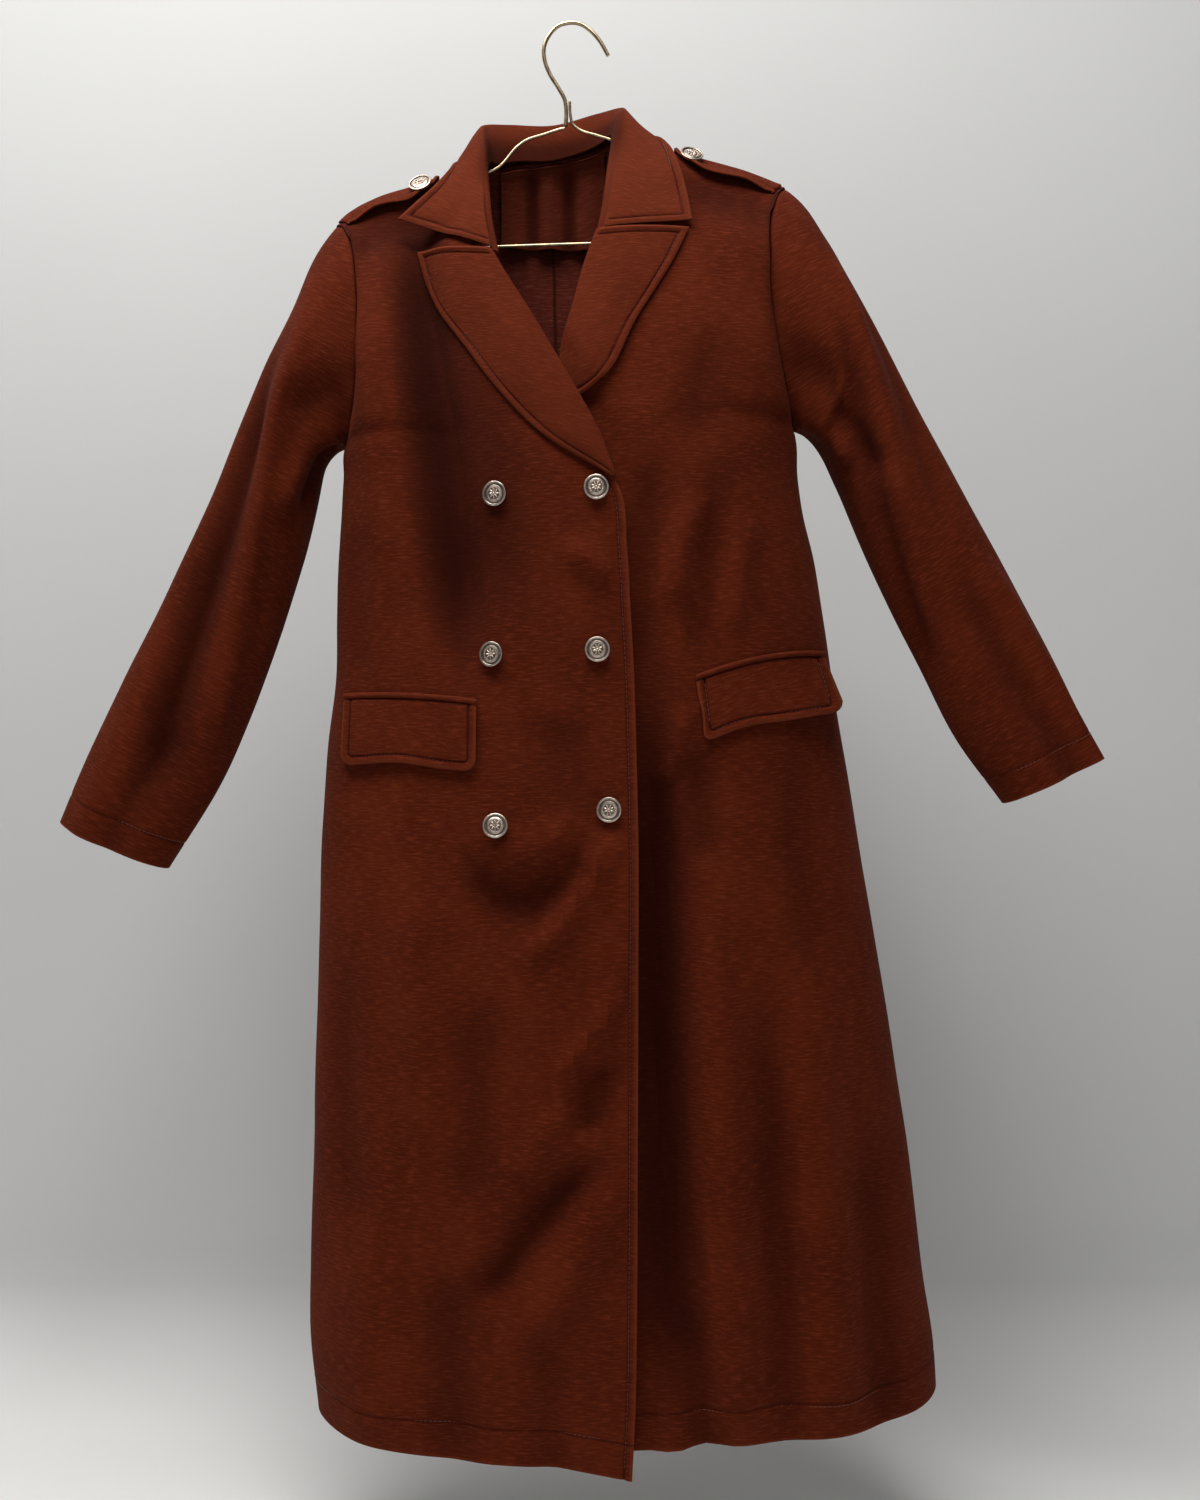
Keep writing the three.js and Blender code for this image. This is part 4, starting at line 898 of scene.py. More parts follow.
SLEEVE_LEFT = table(SLEEVE_COLUMNS, [
    (0, 203, -158, 209, -382, 60, 0, 0),
    (0.07, 226, -179, 215, -384, 60, 0, 0.6),
    (0.14, 240, -207, 221, -387, 60, 0, 0.92),
    (0.21, 263, -243, 229, -396, 58, -2, 1),
    (0.29, 284, -281, 238, -410, 55, -4, 1),
    (0.38, 313, -338, 247, -428, 53, -6, 1),
    (0.47, 340, -390, 257, -449, 51, -8, 1),
    (0.58, 381.5, -465, 286, -517, 48, -10, 1),
    (0.72, 421, -540.5, 322, -593, 45, -13, 1),
    (0.86, 459.5, -616, 359, -667, 42, -16, 1),
    (1, 494.5, -687, 404, -731, 40, -18, 1),
])
# Each crease: start and end along the arm, first and last in degrees round it, width, height.
# 0 degrees is the outer edge, 90 the front, 180 the inner edge and 270 the back.
CREASES_RIGHT = [
    (0.06, 0.85, 66, 140, 16, 11), (0.12, 0.95, 42, 104, 24, -20),
    (0.02, 0.4, 160, 118, 14, 10), (0.04, 0.36, 180, 148, 13, -8),
    (0.02, 0.22, 140, 100, 15, -6), (0.1, 0.7, 285, 262, 18, -8),
    (0.55, 1.1, 58, 74, 18, 5), (0.75, 1.1, 104, 88, 16, -5),
]
CREASES_LEFT = [
    (0.1, 0.75, 38, 140, 16, 7), (0.14, 0.8, 72, 165, 16, -8),
    (0.14, 0.6, 14, 72, 16, -6), (0.0, 0.42, 158, 132, 14, 9),
    (0.2, 0.5, 138, 104, 15, -10), (0.02, 0.25, 128, 112, 15, -6),
    (0.6, 1.1, 56, 40, 15, 7), (0.6, 1.1, 86, 70, 17, -8),
    (0.1, 0.7, 285, 262, 18, -8),
]
CREASE_RISEN, CREASE_FALLING = 0.25, 0.8
SLEEVE_ROUND, SLEEVE_RINGS, FIRST_RING = 120, 95, 0.022
NEAR_ARMHOLE = np.array([0, 0.002, 0.004, 0.007, 0.011, 0.016])
NEAR_CUFF = 1 - np.array([
    0.055, 0.05, 0.047, 0.045, 0.0435, 0.042, 0.0405, 0.038, 0.03, 0.02, 0.011, 0.006, 0.0035, 0.0015, 0])
CUFF_HEM = 27
SLEEVE_IN = 4
SLEEVE_GIRTH, SEAM_TURN = 310, 205


def turned(turn, start):
    """Degrees from the start to the turn, the short way round."""
    return (turn - start + 180) % 360 - 180


def crease_height(creases, along, turn):
    total = np.zeros(np.broadcast(along, turn).shape)
    for start, end, first, last, wide, high in creases:
        f = np.clip((along - start) / (end - start), 0, 1)
        shape = bell(turned(turn, mix(first, last, f)), wide)
        total = total + high * shape * ease(0, CREASE_RISEN, f) * ease(1, CREASE_FALLING, f)
    return total


# %% Sleeves
def armhole_loop(front, back):
    """The points where the body's cloth ends, from the shoulder down the front and up the back."""
    levels = front.chest
    last = len(levels) - 1
    place = np.arange(SLEEVE_ROUND) / SLEEVE_ROUND * 2 * last
    step = np.where(place <= last, place, 2 * last - place)
    level = np.interp(step, np.arange(last + 1), levels)
    outer = front.read(level)["outer"]
    forward, behind = front.point(outer, level), back.point(outer, level)
    return np.where((place <= last)[:, None], forward, behind)


def sleeve(name, front, back, rows, creases, seed):
    loop = armhole_loop(front, back)
    turn = np.arange(SLEEVE_ROUND) / SLEEVE_ROUND * 360
    angle = np.radians(turn)[None, :, None]
    rings = np.linspace(FIRST_RING, NEAR_CUFF[0], SLEEVE_RINGS, endpoint=False)
    along = np.concatenate([NEAR_ARMHOLE, rings, NEAR_CUFF])
    row = upright(upright(reader(rows, "along")(along)))
    outer, inner = [
        np.concatenate([row[edge + "X"], row["forward"], row[edge + "Z"]], axis=2)
        for edge in ("outer", "inner")]
    middle, half = (outer + inner) / 2, (outer - inner) / 2
    crease = crease_height(creases, along[:, None], turn[None, :])
    swell = 1 + crease[..., None] / row["depth"]
    forward = np.array([0, -1, 0])
    oval = middle + half * np.cos(angle) * swell + forward * row["depth"] * np.sin(angle) * swell
    grid = mix(loop[None], oval, np.clip(row["blend"], 0, 1))
    grid[..., 0] -= front.side * SLEEVE_IN * ease(0.12, 0.5, along[:, None])
    sign = front.side

    down, up = from_sides(grid).top, from_sides(grid).bottom
    from_seam = np.abs(turned(turn, SEAM_TURN))[None, :] / 360 * SLEEVE_GIRTH
    finish = Finish(grid).seamed(down, 1.9).hemmed(up, CUFF_HEM).seamed(from_seam, 0.6)
    finish.lift += unevenness(turn * 0.9, down, seed) * ease(0, CALM_NEAR_EDGE, down)
    # Painted shade: the troughs of the creases are tinted darker.
    finish.painted_shade = sunk(crease)
    arm = grid[0].mean(axis=0) - grid[-1].mean(axis=0)
    height = grid @ (arm / np.linalg.norm(arm))
    v = np.concatenate([height, height[:, :1]], axis=1)
    u = np.linspace(0, SLEEVE_GIRTH, SLEEVE_ROUND + 1)[None, :]
    spread = np.stack([np.broadcast_to(u, v.shape), v], -1)
    piece = cloth_piece(
        name, grid, CLOTH, sign, [coat_cloth, wrong_side], finish, closed=True, spread=spread)
    hem = [(closest(up.mean(axis=1), CUFF_HEM), IN_CUFF)]
    sewing = stitches(name + "_stitches", grid, sign, hem, closed=True)
    declare_cloth(piece, name, grid, closed=True)


sleeve("sleeve_right", front_right, back_right, SLEEVE_RIGHT, CREASES_RIGHT, 0.9)
sleeve("sleeve_left", front_left, back_left, SLEEVE_LEFT, CREASES_LEFT, 2.3)

# %% [markdown]
# The collar is one leaf of cloth. It stands up from the neck seam, rolls over and falls outside. For
# each station from the wearer's right end to the left one, a smooth line runs from the foot of the stand
# over the roll to the edge of the fall. Where the fall would sink into the coat, it is moved out of it.

# %% Sizes of the collar
COLLAR_CLOTH, COLLAR_ROLL, COLLAR_CLEAR = 2.6, 7, 4.6
COLLAR = table("along baseX baseY baseZ rollX rollY rollZ edgeX edgeY edgeZ", [
    (0, -68, -50, -229, -67, -61, -231, -157, -51, -199),
    (1, -73, -42, -199, -74, -55, -201, -143, -46, -184),
    (2, -76, -30, -170, -78, -41, -167, -127, -35, -165),
    (3, -78, -15, -144, -82, -23, -126, -115, -16, -144),
    (4, -76, -2, -129, -85, -6, -101, -111, 2, -133),
    (5, -70, 10, -127, -82, 14, -88, -104, 28, -135),
    (6, -52, 24, -119, -60, 34, -80, -75, 55, -137),
    (7, -20, 30, -116, -18, 42, -78, -18, 66, -138),
    (8, 12, 24, -109, 24, 34, -70, 44, 55, -126),
    (9, 30, 10, -105, 46, 14, -72, 70, 28, -114),
    (10, 36, -2, -104, 47, -6, -84, 81, 2, -107),
    (11, 36, -15, -120, 43, -25, -112, 92, -18, -121),
    (12, 33, -30, -150, 37, -43, -148, 100, -44, -152),
    (13, 29, -42, -180, 33, -55, -180, 105, -58, -178),
    (14, 24, -48, -211, 27, -60, -213, 109, -71, -206),
])


def smooth_path(points, at):
    """A smooth line through six rows of points at once. Its knots lie as far apart as the square root of
    the distance between the points. at runs from 0 to the last point."""
    count = len(points)
    i = np.clip(at.astype(int), 0, count - 2)
    f = (at - i)[:, None, None]
    before = np.concatenate([2 * points[:1] - points[1:2], points, 2 * points[-1:] - points[-2:-1]])
    a, b, c, d = before[i], before[i + 1], before[i + 2], before[i + 3]
    gaps = [np.sqrt(np.linalg.norm(q - p, axis=-1, keepdims=True)) for p, q in ((a, b), (b, c), (c, d))]
    one, two, three = [np.maximum(gap, 1e-3) for gap in gaps]
    start = ((b - a) / one - (c - a) / (one + two) + (c - b) / two) * two
    end = ((c - b) / two - (d - b) / (two + three) + (d - c) / three) * two
    return (b + start * f + (-3 * b + 3 * c - 2 * start - end) * f ** 2
            + (2 * b - 2 * c + start + end) * f ** 3)


def graded(length, fine_first, fine_last, coarse):
    """Places from 0 to 1 along a side of that length, close together near the ends that are finished."""
    near = NEAR_EDGE[1:] / length
    start = np.concatenate([[0], near]) if fine_first else np.array([0.0])
    end = np.concatenate([1 - near[::-1], [1]]) if fine_last else np.array([1.0])
    count = max(2, int((end[0] - start[-1]) * length / coarse))
    return np.concatenate([start, np.linspace(start[-1], end[0], count + 1)[1:-1], end])


# %% Collar
COLLAR_LONG, COLLAR_ACROSS = 560, 108
LAST_ON_STAND = 4 / 9
OUT_OF_REACH = 40
# The knots between the roll and the ends of the line: how far along, and how many rolls' width out.
COLLAR_BETWEEN = [(0.25, -0.4), (0.16, 0.5), (0.58, 0.3)]


def soft_beyond(value, limit, soft=1.5):
    """Value where it is greater than limit, and otherwise limit, with a soft change between them."""
    return limit + soft * np.logaddexp(0, (value - limit) / soft)


def collar_grid():
    station = graded(COLLAR_LONG, True, True, 3.6) * COLLAR["along"][-1]
    row = reader(COLLAR, "along")(station)
    base, roll, edge = [np.stack([row[part + axis] for axis in "XYZ"], -1) for part in (
        "base", "roll", "edge")]
    away = unit(edge - base)
    inside, outside, fall = [
        mix(roll, end, share) + away * COLLAR_ROLL * out
        for end, (share, out) in zip((base, edge, edge), COLLAR_BETWEEN)]
    along = graded(COLLAR_ACROSS, False, True, 2.2)
    knots = np.stack([base, inside, roll, outside, fall, edge])
    grid = np.swapaxes(smooth_path(knots, along * (len(knots) - 1)), 0, 1)
    x, y, z = grid[..., 0], grid[..., 1], grid[..., 2]
    low = (along[None, :] >= LAST_ON_STAND) & (z < shoulder_at(x))
    on_right = np.broadcast_to(edge[:, :1] < NECK_X, x.shape)
    ahead, behind = [
        np.where(on_right, right.at(x, z)[..., 1], left.at(x, z)[..., 1]) + clear
        for right, left, clear in (
            (front_right, front_left, -COLLAR_CLEAR), (back_right, back_left, COLLAR_CLEAR))]
    moved = np.where(y < 0, -soft_beyond(-y, -ahead), soft_beyond(y, behind))
    grid[..., 1] = np.where(low, moved, y)
    return grid


collar_points = collar_grid()
sides = from_sides(collar_points)
from_end = nearest(sides.top, sides.bottom)
# The ends are rolled only on the fall, beyond the bend
on_stand = ease(0.42, 0.36, np.linspace(0, 1, collar_points.shape[1]))[None, :]
finish = Finish(collar_points).rolled(nearest(sides.last, from_end + OUT_OF_REACH * on_stand), 1.2)
# Painted light: the whole collar is made paler, as lit from above.
finish.marked(wear=0.4)
finish.lift += 0.8 * unevenness(sides.first, sides.top, 4.1)
# Painted shade: the foot of the stand, inside the neck and away from the ends, is tinted darker.
finish.painted_shade = 0.8 * ease(30, 8, sides.first) * ease(60, 110, from_end)
collar = cloth_piece("collar", collar_points, COLLAR_CLOTH, -1, [coat_cloth], finish)
on_fall = slice(AT_END - 16, AT_END)
collar_sewing = stitches("collar_stitches", collar_points, -1, [
    (slice(AT_START, -AT_START), AT_END, IN_GROOVE), (AT_START, on_fall, IN_GROOVE),
    (AT_END, on_fall, IN_GROOVE)])
declare_cloth(collar, "collar", collar_points)

# %% [markdown]
# A lapel is the front's own edge, turned back along the roll line. Its first columns bend round the roll,
# and the rest lie over the front on its points, moved out, with the leaf standing up a little in the
# middle. Seen from inside the neck the roll has to close, so the bend starts behind the front.

# %% Lapels
LAPEL_CLOTH, LAPEL_ROLL, LAPEL_RISE, LAPEL_PUFF = 2.2, 3.2, 1.3, 4
LAPEL_COLUMNS = "along rollX rollZ edgeX edgeZ lie puff"
LAPEL_RIGHT = table(LAPEL_COLUMNS, [
    (0, -70, -233, -142, -229, 3.4, 0.6),
    (0.15, -56, -258, -131, -257, 3.2, 1),
    (0.32, -37, -290, -115, -290, 3.2, 1.2),
    (0.5, -15, -328, -92, -325, 3, 1.2),
    (0.68, 6, -366, -60, -368, 3, 1),
    (0.84, 25, -403, -22, -408, 3, 0.7),
    (1, 41, -444, 33, -442, 3.4, 0),
])
LAPEL_LEFT = table(LAPEL_COLUMNS, [
    (0, 23, -216, 106, -214, 3.4, 0.6),
    (0.2, 12, -250, 92, -245, 3.2, 1),
    (0.4, 4, -282, 75, -275, 3.2, 1),
    (0.58, -4, -312, 56, -308, 5.4, 0.8),
    (0.75, -10, -338, 38, -347, 7, 0.7),
    (1, -15, -360, 3, -376, 6.1, 0.2),
])
LAPEL_BEND = np.radians([-130, -105, -80, -55, -30, -5, 20, 45, 68, 90])


def lapel_grid(panel, rows, long, wide):
    row = upright(reader(rows, "along")(graded(long, True, False, 2.6)))
    to_x, to_z = row["rollX"] - row["edgeX"], row["rollZ"] - row["edgeZ"]
    width = np.hypot(to_x, to_z)
    f = graded(wide, False, True, 2.4)[None, 1:]
    bend_run = np.broadcast_to(LAPEL_ROLL * (np.cos(LAPEL_BEND) - 1), (len(width), len(LAPEL_BEND)))
    bend_lift = np.broadcast_to(LAPEL_RISE + LAPEL_ROLL * np.sin(LAPEL_BEND), bend_run.shape)
    leaf_run = mix(-LAPEL_ROLL, -width, f)
    leaf_lift = mix(LAPEL_RISE + LAPEL_ROLL, row["lie"], f) + LAPEL_PUFF * np.sin(np.pi * f) * row["puff"]
    run = np.concatenate([bend_run, leaf_run], axis=1)
    lift = np.concatenate([bend_lift, leaf_lift], axis=1)
    return panel.lifted(row["rollX"] + to_x / width * run, row["rollZ"] + to_z / width * run, lift)


def lapel(name, panel, rows, long, wide, sign, seed):
    grid = lapel_grid(panel, rows, long, wide)
    sides = from_sides(grid)
    on_leaf = len(LAPEL_BEND)
    top = sides.top + OUT_OF_REACH * 1.5 * (np.arange(grid.shape[1]) < on_leaf)[None, :]
    # The leaf is painted a little paler all over, as painted light, besides the pale band of wear and painted
    # highlight at its rolled edge.
    finish = Finish(grid).rolled(nearest(sides.last, top), 1.2).marked(wear=0.2)
    finish.lift += 0.7 * unevenness(sides.first, sides.top, seed) * ease(0, 15, sides.last)
    piece = cloth_piece(name, grid, LAPEL_CLOTH, sign, [coat_cloth], finish)
    sewing = stitches(name + "_stitches", grid, sign, [
        (slice(AT_START, -6), AT_END, IN_GROOVE), (AT_START, slice(on_leaf + 2, AT_END), IN_GROOVE)])
    declare_cloth(piece, name, grid)


lapel("lapel_right", front_right, LAPEL_RIGHT, 250, 75, 1, 5.2)
lapel("lapel_left", front_left, LAPEL_LEFT, 165, 80, -1, 6.6)

# %% [markdown]
# Each pocket has a narrow welt sewn into the front and a flap that hangs below it. The flap's rolled rim
# is its plainest feature, so its points are measured from a rectangle with round corners, and the roll
# and the groove follow that outline all the way round.

# %% Pockets
WELT_CLOTH, WELT_HEIGHT, WELT_SUNK, FLAP_CLOTH, FLAP_STAND, GAP = 3, 5, 0.6, 2.4, 2.5, 0.3
POCKET_RIGHT = dict(startX=-203, endX=-81, startZ=-631, endZ=-637.5, bow=3, height=58, slant=0, flare=0)
POCKET_LEFT = dict(startX=110, endX=228, startZ=-616, endZ=-592, bow=6, height=54, slant=6, flare=9)
CORNER = 11
FLAP_WAVE, FLAP_WAVES = 1.2, 9


def strip_points(panel, line, below, g, f, drop, lift):
    x = mix(line["startX"], line["endX"], f) + line["slant"] * g
    top = mix(line["startZ"], line["endZ"], f) + line["bow"] * 4 * f * (1 - f) - below
    return panel.lifted(x, top - drop, lift + line["flare"] * ease(0.5, 1, f) * g)


def pocket(name, panel, line, seed):
    wide = line["endX"] - line["startX"]
    f = graded(wide, True, True, 2.6)[None, :]
    g = np.linspace(0, 1, 9)[:, None]
    plain = {**line, "slant": 0, "flare": 0}
    welt_drop = WELT_HEIGHT * g * np.ones_like(f)
    crown = np.sqrt(np.clip(1 - (2 * g - 1) ** 2, 0, 1)) - WELT_SUNK
    welt = strip_points(panel, plain, 0, g, f, welt_drop, WELT_CLOTH + 2 * GAP + crown)
    # A pale band near the welt's top is a painted highlight where its rounded crown catches the light.
    finish = Finish(welt).marked(wear=0.55 * bell(welt_drop - 1.2, 1.6))
    welt_piece = cloth_piece("pocket_welt_" + name, welt, WELT_CLOTH, -1, [coat_cloth], finish)
    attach(welt_piece, "root")
    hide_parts("pocket_welt_" + name)

    low = line["height"] + FLAP_WAVE * np.sin(FLAP_WAVES * f + seed)
    g = graded(line["height"], False, True, 2.4)[:, None]
    from_end = np.minimum(f, 1 - f) * wide * np.ones_like(g)
    into_corner = np.clip(CORNER - from_end, 0, CORNER)
    drop = g * (low - CORNER + np.sqrt(CORNER ** 2 - into_corner ** 2))
    from_foot = low - drop
    lift = FLAP_CLOTH + GAP + FLAP_STAND * g
    flap = strip_points(panel, line, WELT_HEIGHT + GAP, g, f, drop, lift)
    in_corner = (from_end < CORNER) & (from_foot < CORNER)
    round_corner = CORNER - np.hypot(CORNER - from_end, CORNER - from_foot)
    distance = np.where(in_corner, np.maximum(round_corner, 0), nearest(from_end, from_foot))
    finish = Finish(flap).rolled(distance, 1.15).seamed(drop, 0.6)
    finish.lift += 0.9 * unevenness(from_end, drop, seed) * ease(0, 12, distance)
    piece = cloth_piece("pocket_flap_" + name, flap, FLAP_CLOTH, -1, [coat_cloth], finish)
    sewing = stitches("pocket_flap_" + name + "_stitches", flap, -1, [
        (slice(2, -14), AT_START, IN_GROOVE), (slice(2, -14), AT_END, IN_GROOVE),
        (AT_END, slice(14, -14), IN_GROOVE)])
    declare_cloth(piece, "pocket_flap_" + name, flap)


pocket("right", front_right, POCKET_RIGHT, 7.1)
pocket("left", front_left, POCKET_LEFT, 8.4)

# %% [markdown]
# An epaulette is a strap that is sewn into the armhole and buttoned down near the collar. It lies over
# the shoulder line, so its columns go from the front's cloth over the ridge to the back's.

# %% Epaulettes
STRAP_INSET, STRAP_TENT = 3, 5
STRAP_COLUMNS = "along x width rise"
EPAULETTE_RIGHT = table(STRAP_COLUMNS, [
    (0, -218, 1, 0), (0.4, -186, 1, 1.5), (0.85, -139, 0.95, 0.5), (0.95, -129, 0.7, 1), (1, -124, 0.35, 1.5),
])
EPAULETTE_LEFT = table(STRAP_COLUMNS, [
    (0, 197, 1, 0), (0.4, 165, 1, 1.5), (0.85, 110, 0.95, 0.5), (0.95, 100, 0.7, 1.5), (1, 95, 0.35, 2),
])
STRAP_DROPS = np.array([
    19, 18.4, 17.5, 16.4, 15.2, 13.9, 12.5, 11, 9.4, 7.8, 6.2, 4.7, 3.3, 2.1, 1.1, 0.4, 0])


def epaulette(name, front, back, rows, sign, seed):
    row = upright(reader(rows, "along")(graded(100, False, True, 2.4)))
    side = front.side

    def place(panel, drops):
        level = panel.top - drops[None, :] * row["width"]
        end = panel.read(level)["outer"] - side * STRAP_INSET
        x = np.where(side * row["x"] < side * end, row["x"], end)
        return panel.point(x, level)

    ahead, behind = place(front, STRAP_DROPS), place(back, STRAP_DROPS[-2::-1])
    grid = np.concatenate([ahead, behind], axis=1)
    grid[..., 2] += row["rise"]
    sides = from_sides(grid)
    tent = ease(16, 0, sides.first) * ease(0, 30, nearest(sides.top, sides.bottom))
    off = FLAP_CLOTH + GAP + STRAP_TENT * tent
    grid = grid + way_out(grid, False, sign) * off[..., None]
    finish = Finish(grid).rolled(nearest(sides.first, sides.last, sides.bottom), 1.2)
    finish.lift += 0.5 * unevenness(sides.first, sides.top, seed)
    piece = cloth_piece(name, grid, FLAP_CLOTH, sign, [coat_cloth], finish)
    declare_cloth(piece, name, grid)


epaulette("epaulette_right", front_right, back_right, EPAULETTE_RIGHT, -1, 9.3)
epaulette("epaulette_left", front_left, back_left, EPAULETTE_LEFT, 1, 10.7)

# %% [markdown]
# Inside the back of the neck a smooth facing hangs below the collar's seam, in soft folds of its own.
# It lies on the points of the back, moved in.

# %% Back neck facing
FACING = dict(right=-72, left=34, below=2.0, bottom=-192, clear=2.2)
FACING_CLOTH, DEEPEST_FOLD = 1.5, 6
FACING_FOLDS = [
    (-100, -240, -41, -38, 0, 8, -6, DOWN),
    (-112, -240, -24, -22, 0, 8, 6, DOWN),
    (-100, -240, -5, -2, 0, 8, -6, DOWN),
    (-112, -240, 14, 18, 0, 9, 4, DOWN),
    (-112, -240, -60, -58, 0, 9, 4, DOWN),
]
x = np.linspace(FACING["right"], FACING["left"], 44)[None, :]
g = np.linspace(0, 1, 46)[:, None]
z = mix(shoulder_at(x) - FACING["below"], FACING["bottom"], g)
inward = -(CLOTH + FACING["clear"])
facing_points = np.where(
    (x < NECK_X)[..., None], back_right.lifted(x, z, inward), back_left.lifted(x, z, inward))
facing_fold = fold_height(FACING_FOLDS, x * np.ones_like(z), z)
facing_points[..., 1] -= np.maximum(0, facing_fold + DEEPEST_FOLD) * 0.6
below_seam = from_sides(facing_points).top
# A pale band just below the seam is a painted highlight on the seam's ridge, and the troughs of the facing's
# folds get painted shade.
finish = Finish(facing_points).seamed(below_seam, 0.5).marked(wear=0.7 * bell(below_seam - 4, 2.5))
finish.painted_shade = sunk(facing_fold, 4.5)
facing = cloth_piece("back_neck_facing", facing_points, FACING_CLOTH, 1, [facing_cloth], finish)
declare_cloth(facing, "back_neck_facing", facing_points)
print(f"All the cloth that shows, cut flat: {cut_total:.3f} square metres")

# %% [markdown]
# The buttons are cast metal, pale and a little warm. Each has a raised rim, a sunk ring and a domed
# middle with a small rosette in relief. One is modelled by hand from a cylinder: its top face is inset
# and moved up or down again and again. Petals and beads are then set on it, and it is copied eight times.

# %% Metal
def metal_material(name, bright, dull, rough, scale):
    metal = Surface(name)
    cloud, fine = metal.noise(metal.place(), scale, 4), metal.noise(metal.place(), scale * 9, 3)
    metal.relief(fine, 0.12, 0.0002)
    return metal.finished(
        metal.tinted(metal.ranged(cloud, 0.35, 0.7), bright, dull), Metallic=1,
        Roughness=metal.ranged(fine, 0.3, 0.7, rough * 0.75, rough * 1.35))


nickel = metal_material("nickel", (0.80, 0.69, 0.60, 1), (0.52, 0.43, 0.36, 1), 0.30, 420)
tarnish = metal_material("tarnish", (0.36, 0.27, 0.21, 1), (0.16, 0.115, 0.085, 1), 0.42, 420)
gold = metal_material("gold_wire", (0.72, 0.56, 0.36, 1), (0.44, 0.33, 0.20, 1), 0.26, 160)
print("Metals:", nickel.name, tarnish.name, gold.name)

# %% One button
BUTTON_RADIUS, BACK_IN, BACK_THICK, BACK_AT = 11, 0.8, 1.0, 2.6
RIM_UP, RIM_OUT = 1.5, 1.08
SHANK_RADIUS, SHANK_LONG = 2.3, 2.4
PETALS, PETAL_SIZE, PETAL_PLACE = 8, (1.9, 0.78, 0.85), (2.9, 0, 5.0)
BEADS, BEAD_RADIUS, BEAD_PLACE = 30, 0.42, (5.7, 0, 4.7)
MIDDLE_RADIUS, MIDDLE_PLACE = 1.15, (0, 0, 5.0)
RECESS_IN, RECESS_OUT, RECESS_TOP = 7.2, 9.3, 4.7
ROSETTE_OUT, ROSETTE_ABOVE = 5.4, 4.0
# Each step: how far the face is inset, and how far it is then raised.
BUTTON_STEPS = [
    (0.4, 0.3), (1.2, 0.1), (0.3, -0.5), (0.2, -0.8), (1.0, 0.0), (0.3, 0.7), (0.6, 0.2), (1.8, 0.3),
    (2.0, 0.15), (1.6, 0.05),
]


def in_place():
    """The shape that was made last, with its place written into its points."""
    bpy.ops.object.transform_apply(location=True, rotation=True, scale=True)
    return bpy.context.object


def model_button():
    bpy.ops.mesh.primitive_cylinder_add(
        vertices=64, radius=BUTTON_RADIUS - BACK_IN, depth=BACK_THICK, location=(0, 0, BACK_AT))
    button = bpy.context.object
    button.name = "button_pattern"
    mode("EDIT")
    bpy.ops.mesh.select_mode(type="FACE")
    bpy.ops.mesh.select_all(action="DESELECT")
    mode("OBJECT")
    max(button.data.polygons, key=lambda face: face.center.z).select = True
    mode("EDIT")
    bpy.ops.mesh.extrude_region_move(TRANSFORM_OT_translate={"value": (0, 0, RIM_UP)})
    bpy.ops.transform.resize(value=(RIM_OUT, RIM_OUT, 1))
    for inset, raised in BUTTON_STEPS:
        bpy.ops.mesh.inset(thickness=inset, depth=0)
        bpy.ops.transform.translate(value=(0, 0, raised))
    bpy.ops.mesh.select_all(action="DESELECT")
    mode("OBJECT")
    bevelled(button, 0.22, 2, 28)
    return in_place()


def model_petal():
    bpy.ops.mesh.primitive_uv_sphere_add(segments=12, ring_count=8, radius=1, location=(0, 0, 0))
    mode("EDIT")
    bpy.ops.transform.resize(value=PETAL_SIZE)
    bpy.ops.transform.translate(value=PETAL_PLACE)
    mode("OBJECT")
    return bpy.context.object


def model_bead(radius, place):
    bpy.ops.mesh.primitive_uv_sphere_add(segments=8, ring_count=6, radius=radius, location=place)
    return in_place()


def copied(pattern, matrix):
    """A moved copy of a pattern, with a mesh of its own."""
    piece = pattern.copy()
    piece.data = pattern.data.copy()
    piece.data.transform(matrix)
    bpy.context.collection.objects.link(piece)
    return piece


def turned_copies(pattern, count):
    made = [copied(pattern, Matrix.Rotation(2 * math.pi * k / count, 4, "Z")) for k in range(count)]
    bpy.data.objects.remove(pattern)
    return made


def model_shank():
    bpy.ops.mesh.primitive_cylinder_add(
        vertices=20, radius=SHANK_RADIUS, depth=SHANK_LONG, location=(0, 0, SHANK_LONG / 2))
    shank = in_place()
    bevelled(shank, 0.4, 2, 40)
    return shank


button_pattern = model_button()
for metal in (nickel, tarnish):
    button_pattern.data.materials.append(metal)
for face in button_pattern.data.polygons:
    away = math.hypot(face.center.x, face.center.y)
    in_recess = RECESS_IN < away < RECESS_OUT and face.center.z < RECESS_TOP
    under_petals = away < ROSETTE_OUT and face.center.z > ROSETTE_ABOVE
    face.material_index = int(in_recess or under_petals)
parts = [button_pattern, model_shank(), model_bead(MIDDLE_RADIUS, MIDDLE_PLACE)]
parts += turned_copies(model_petal(), PETALS)
parts += turned_copies(model_bead(BEAD_RADIUS, BEAD_PLACE), BEADS)
for part in parts[1:]:
    part.data.materials.append(nickel)
select_only(*parts)
bpy.ops.object.join()
select_only(button_pattern)
smooth_below(38)
high = max(v.co.z for v in button_pattern.data.vertices)
wide = max(v.co.x for v in button_pattern.data.vertices)
print(f"Button: {2 * wide:.1f} mm wide, {high:.1f} mm high, {len(button_pattern.data.polygons)} faces")

# %% [markdown]
# Each button sits on the cloth with its back to it, turned the way the cloth faces there. The two on the
# shoulders sit on the epaulettes.

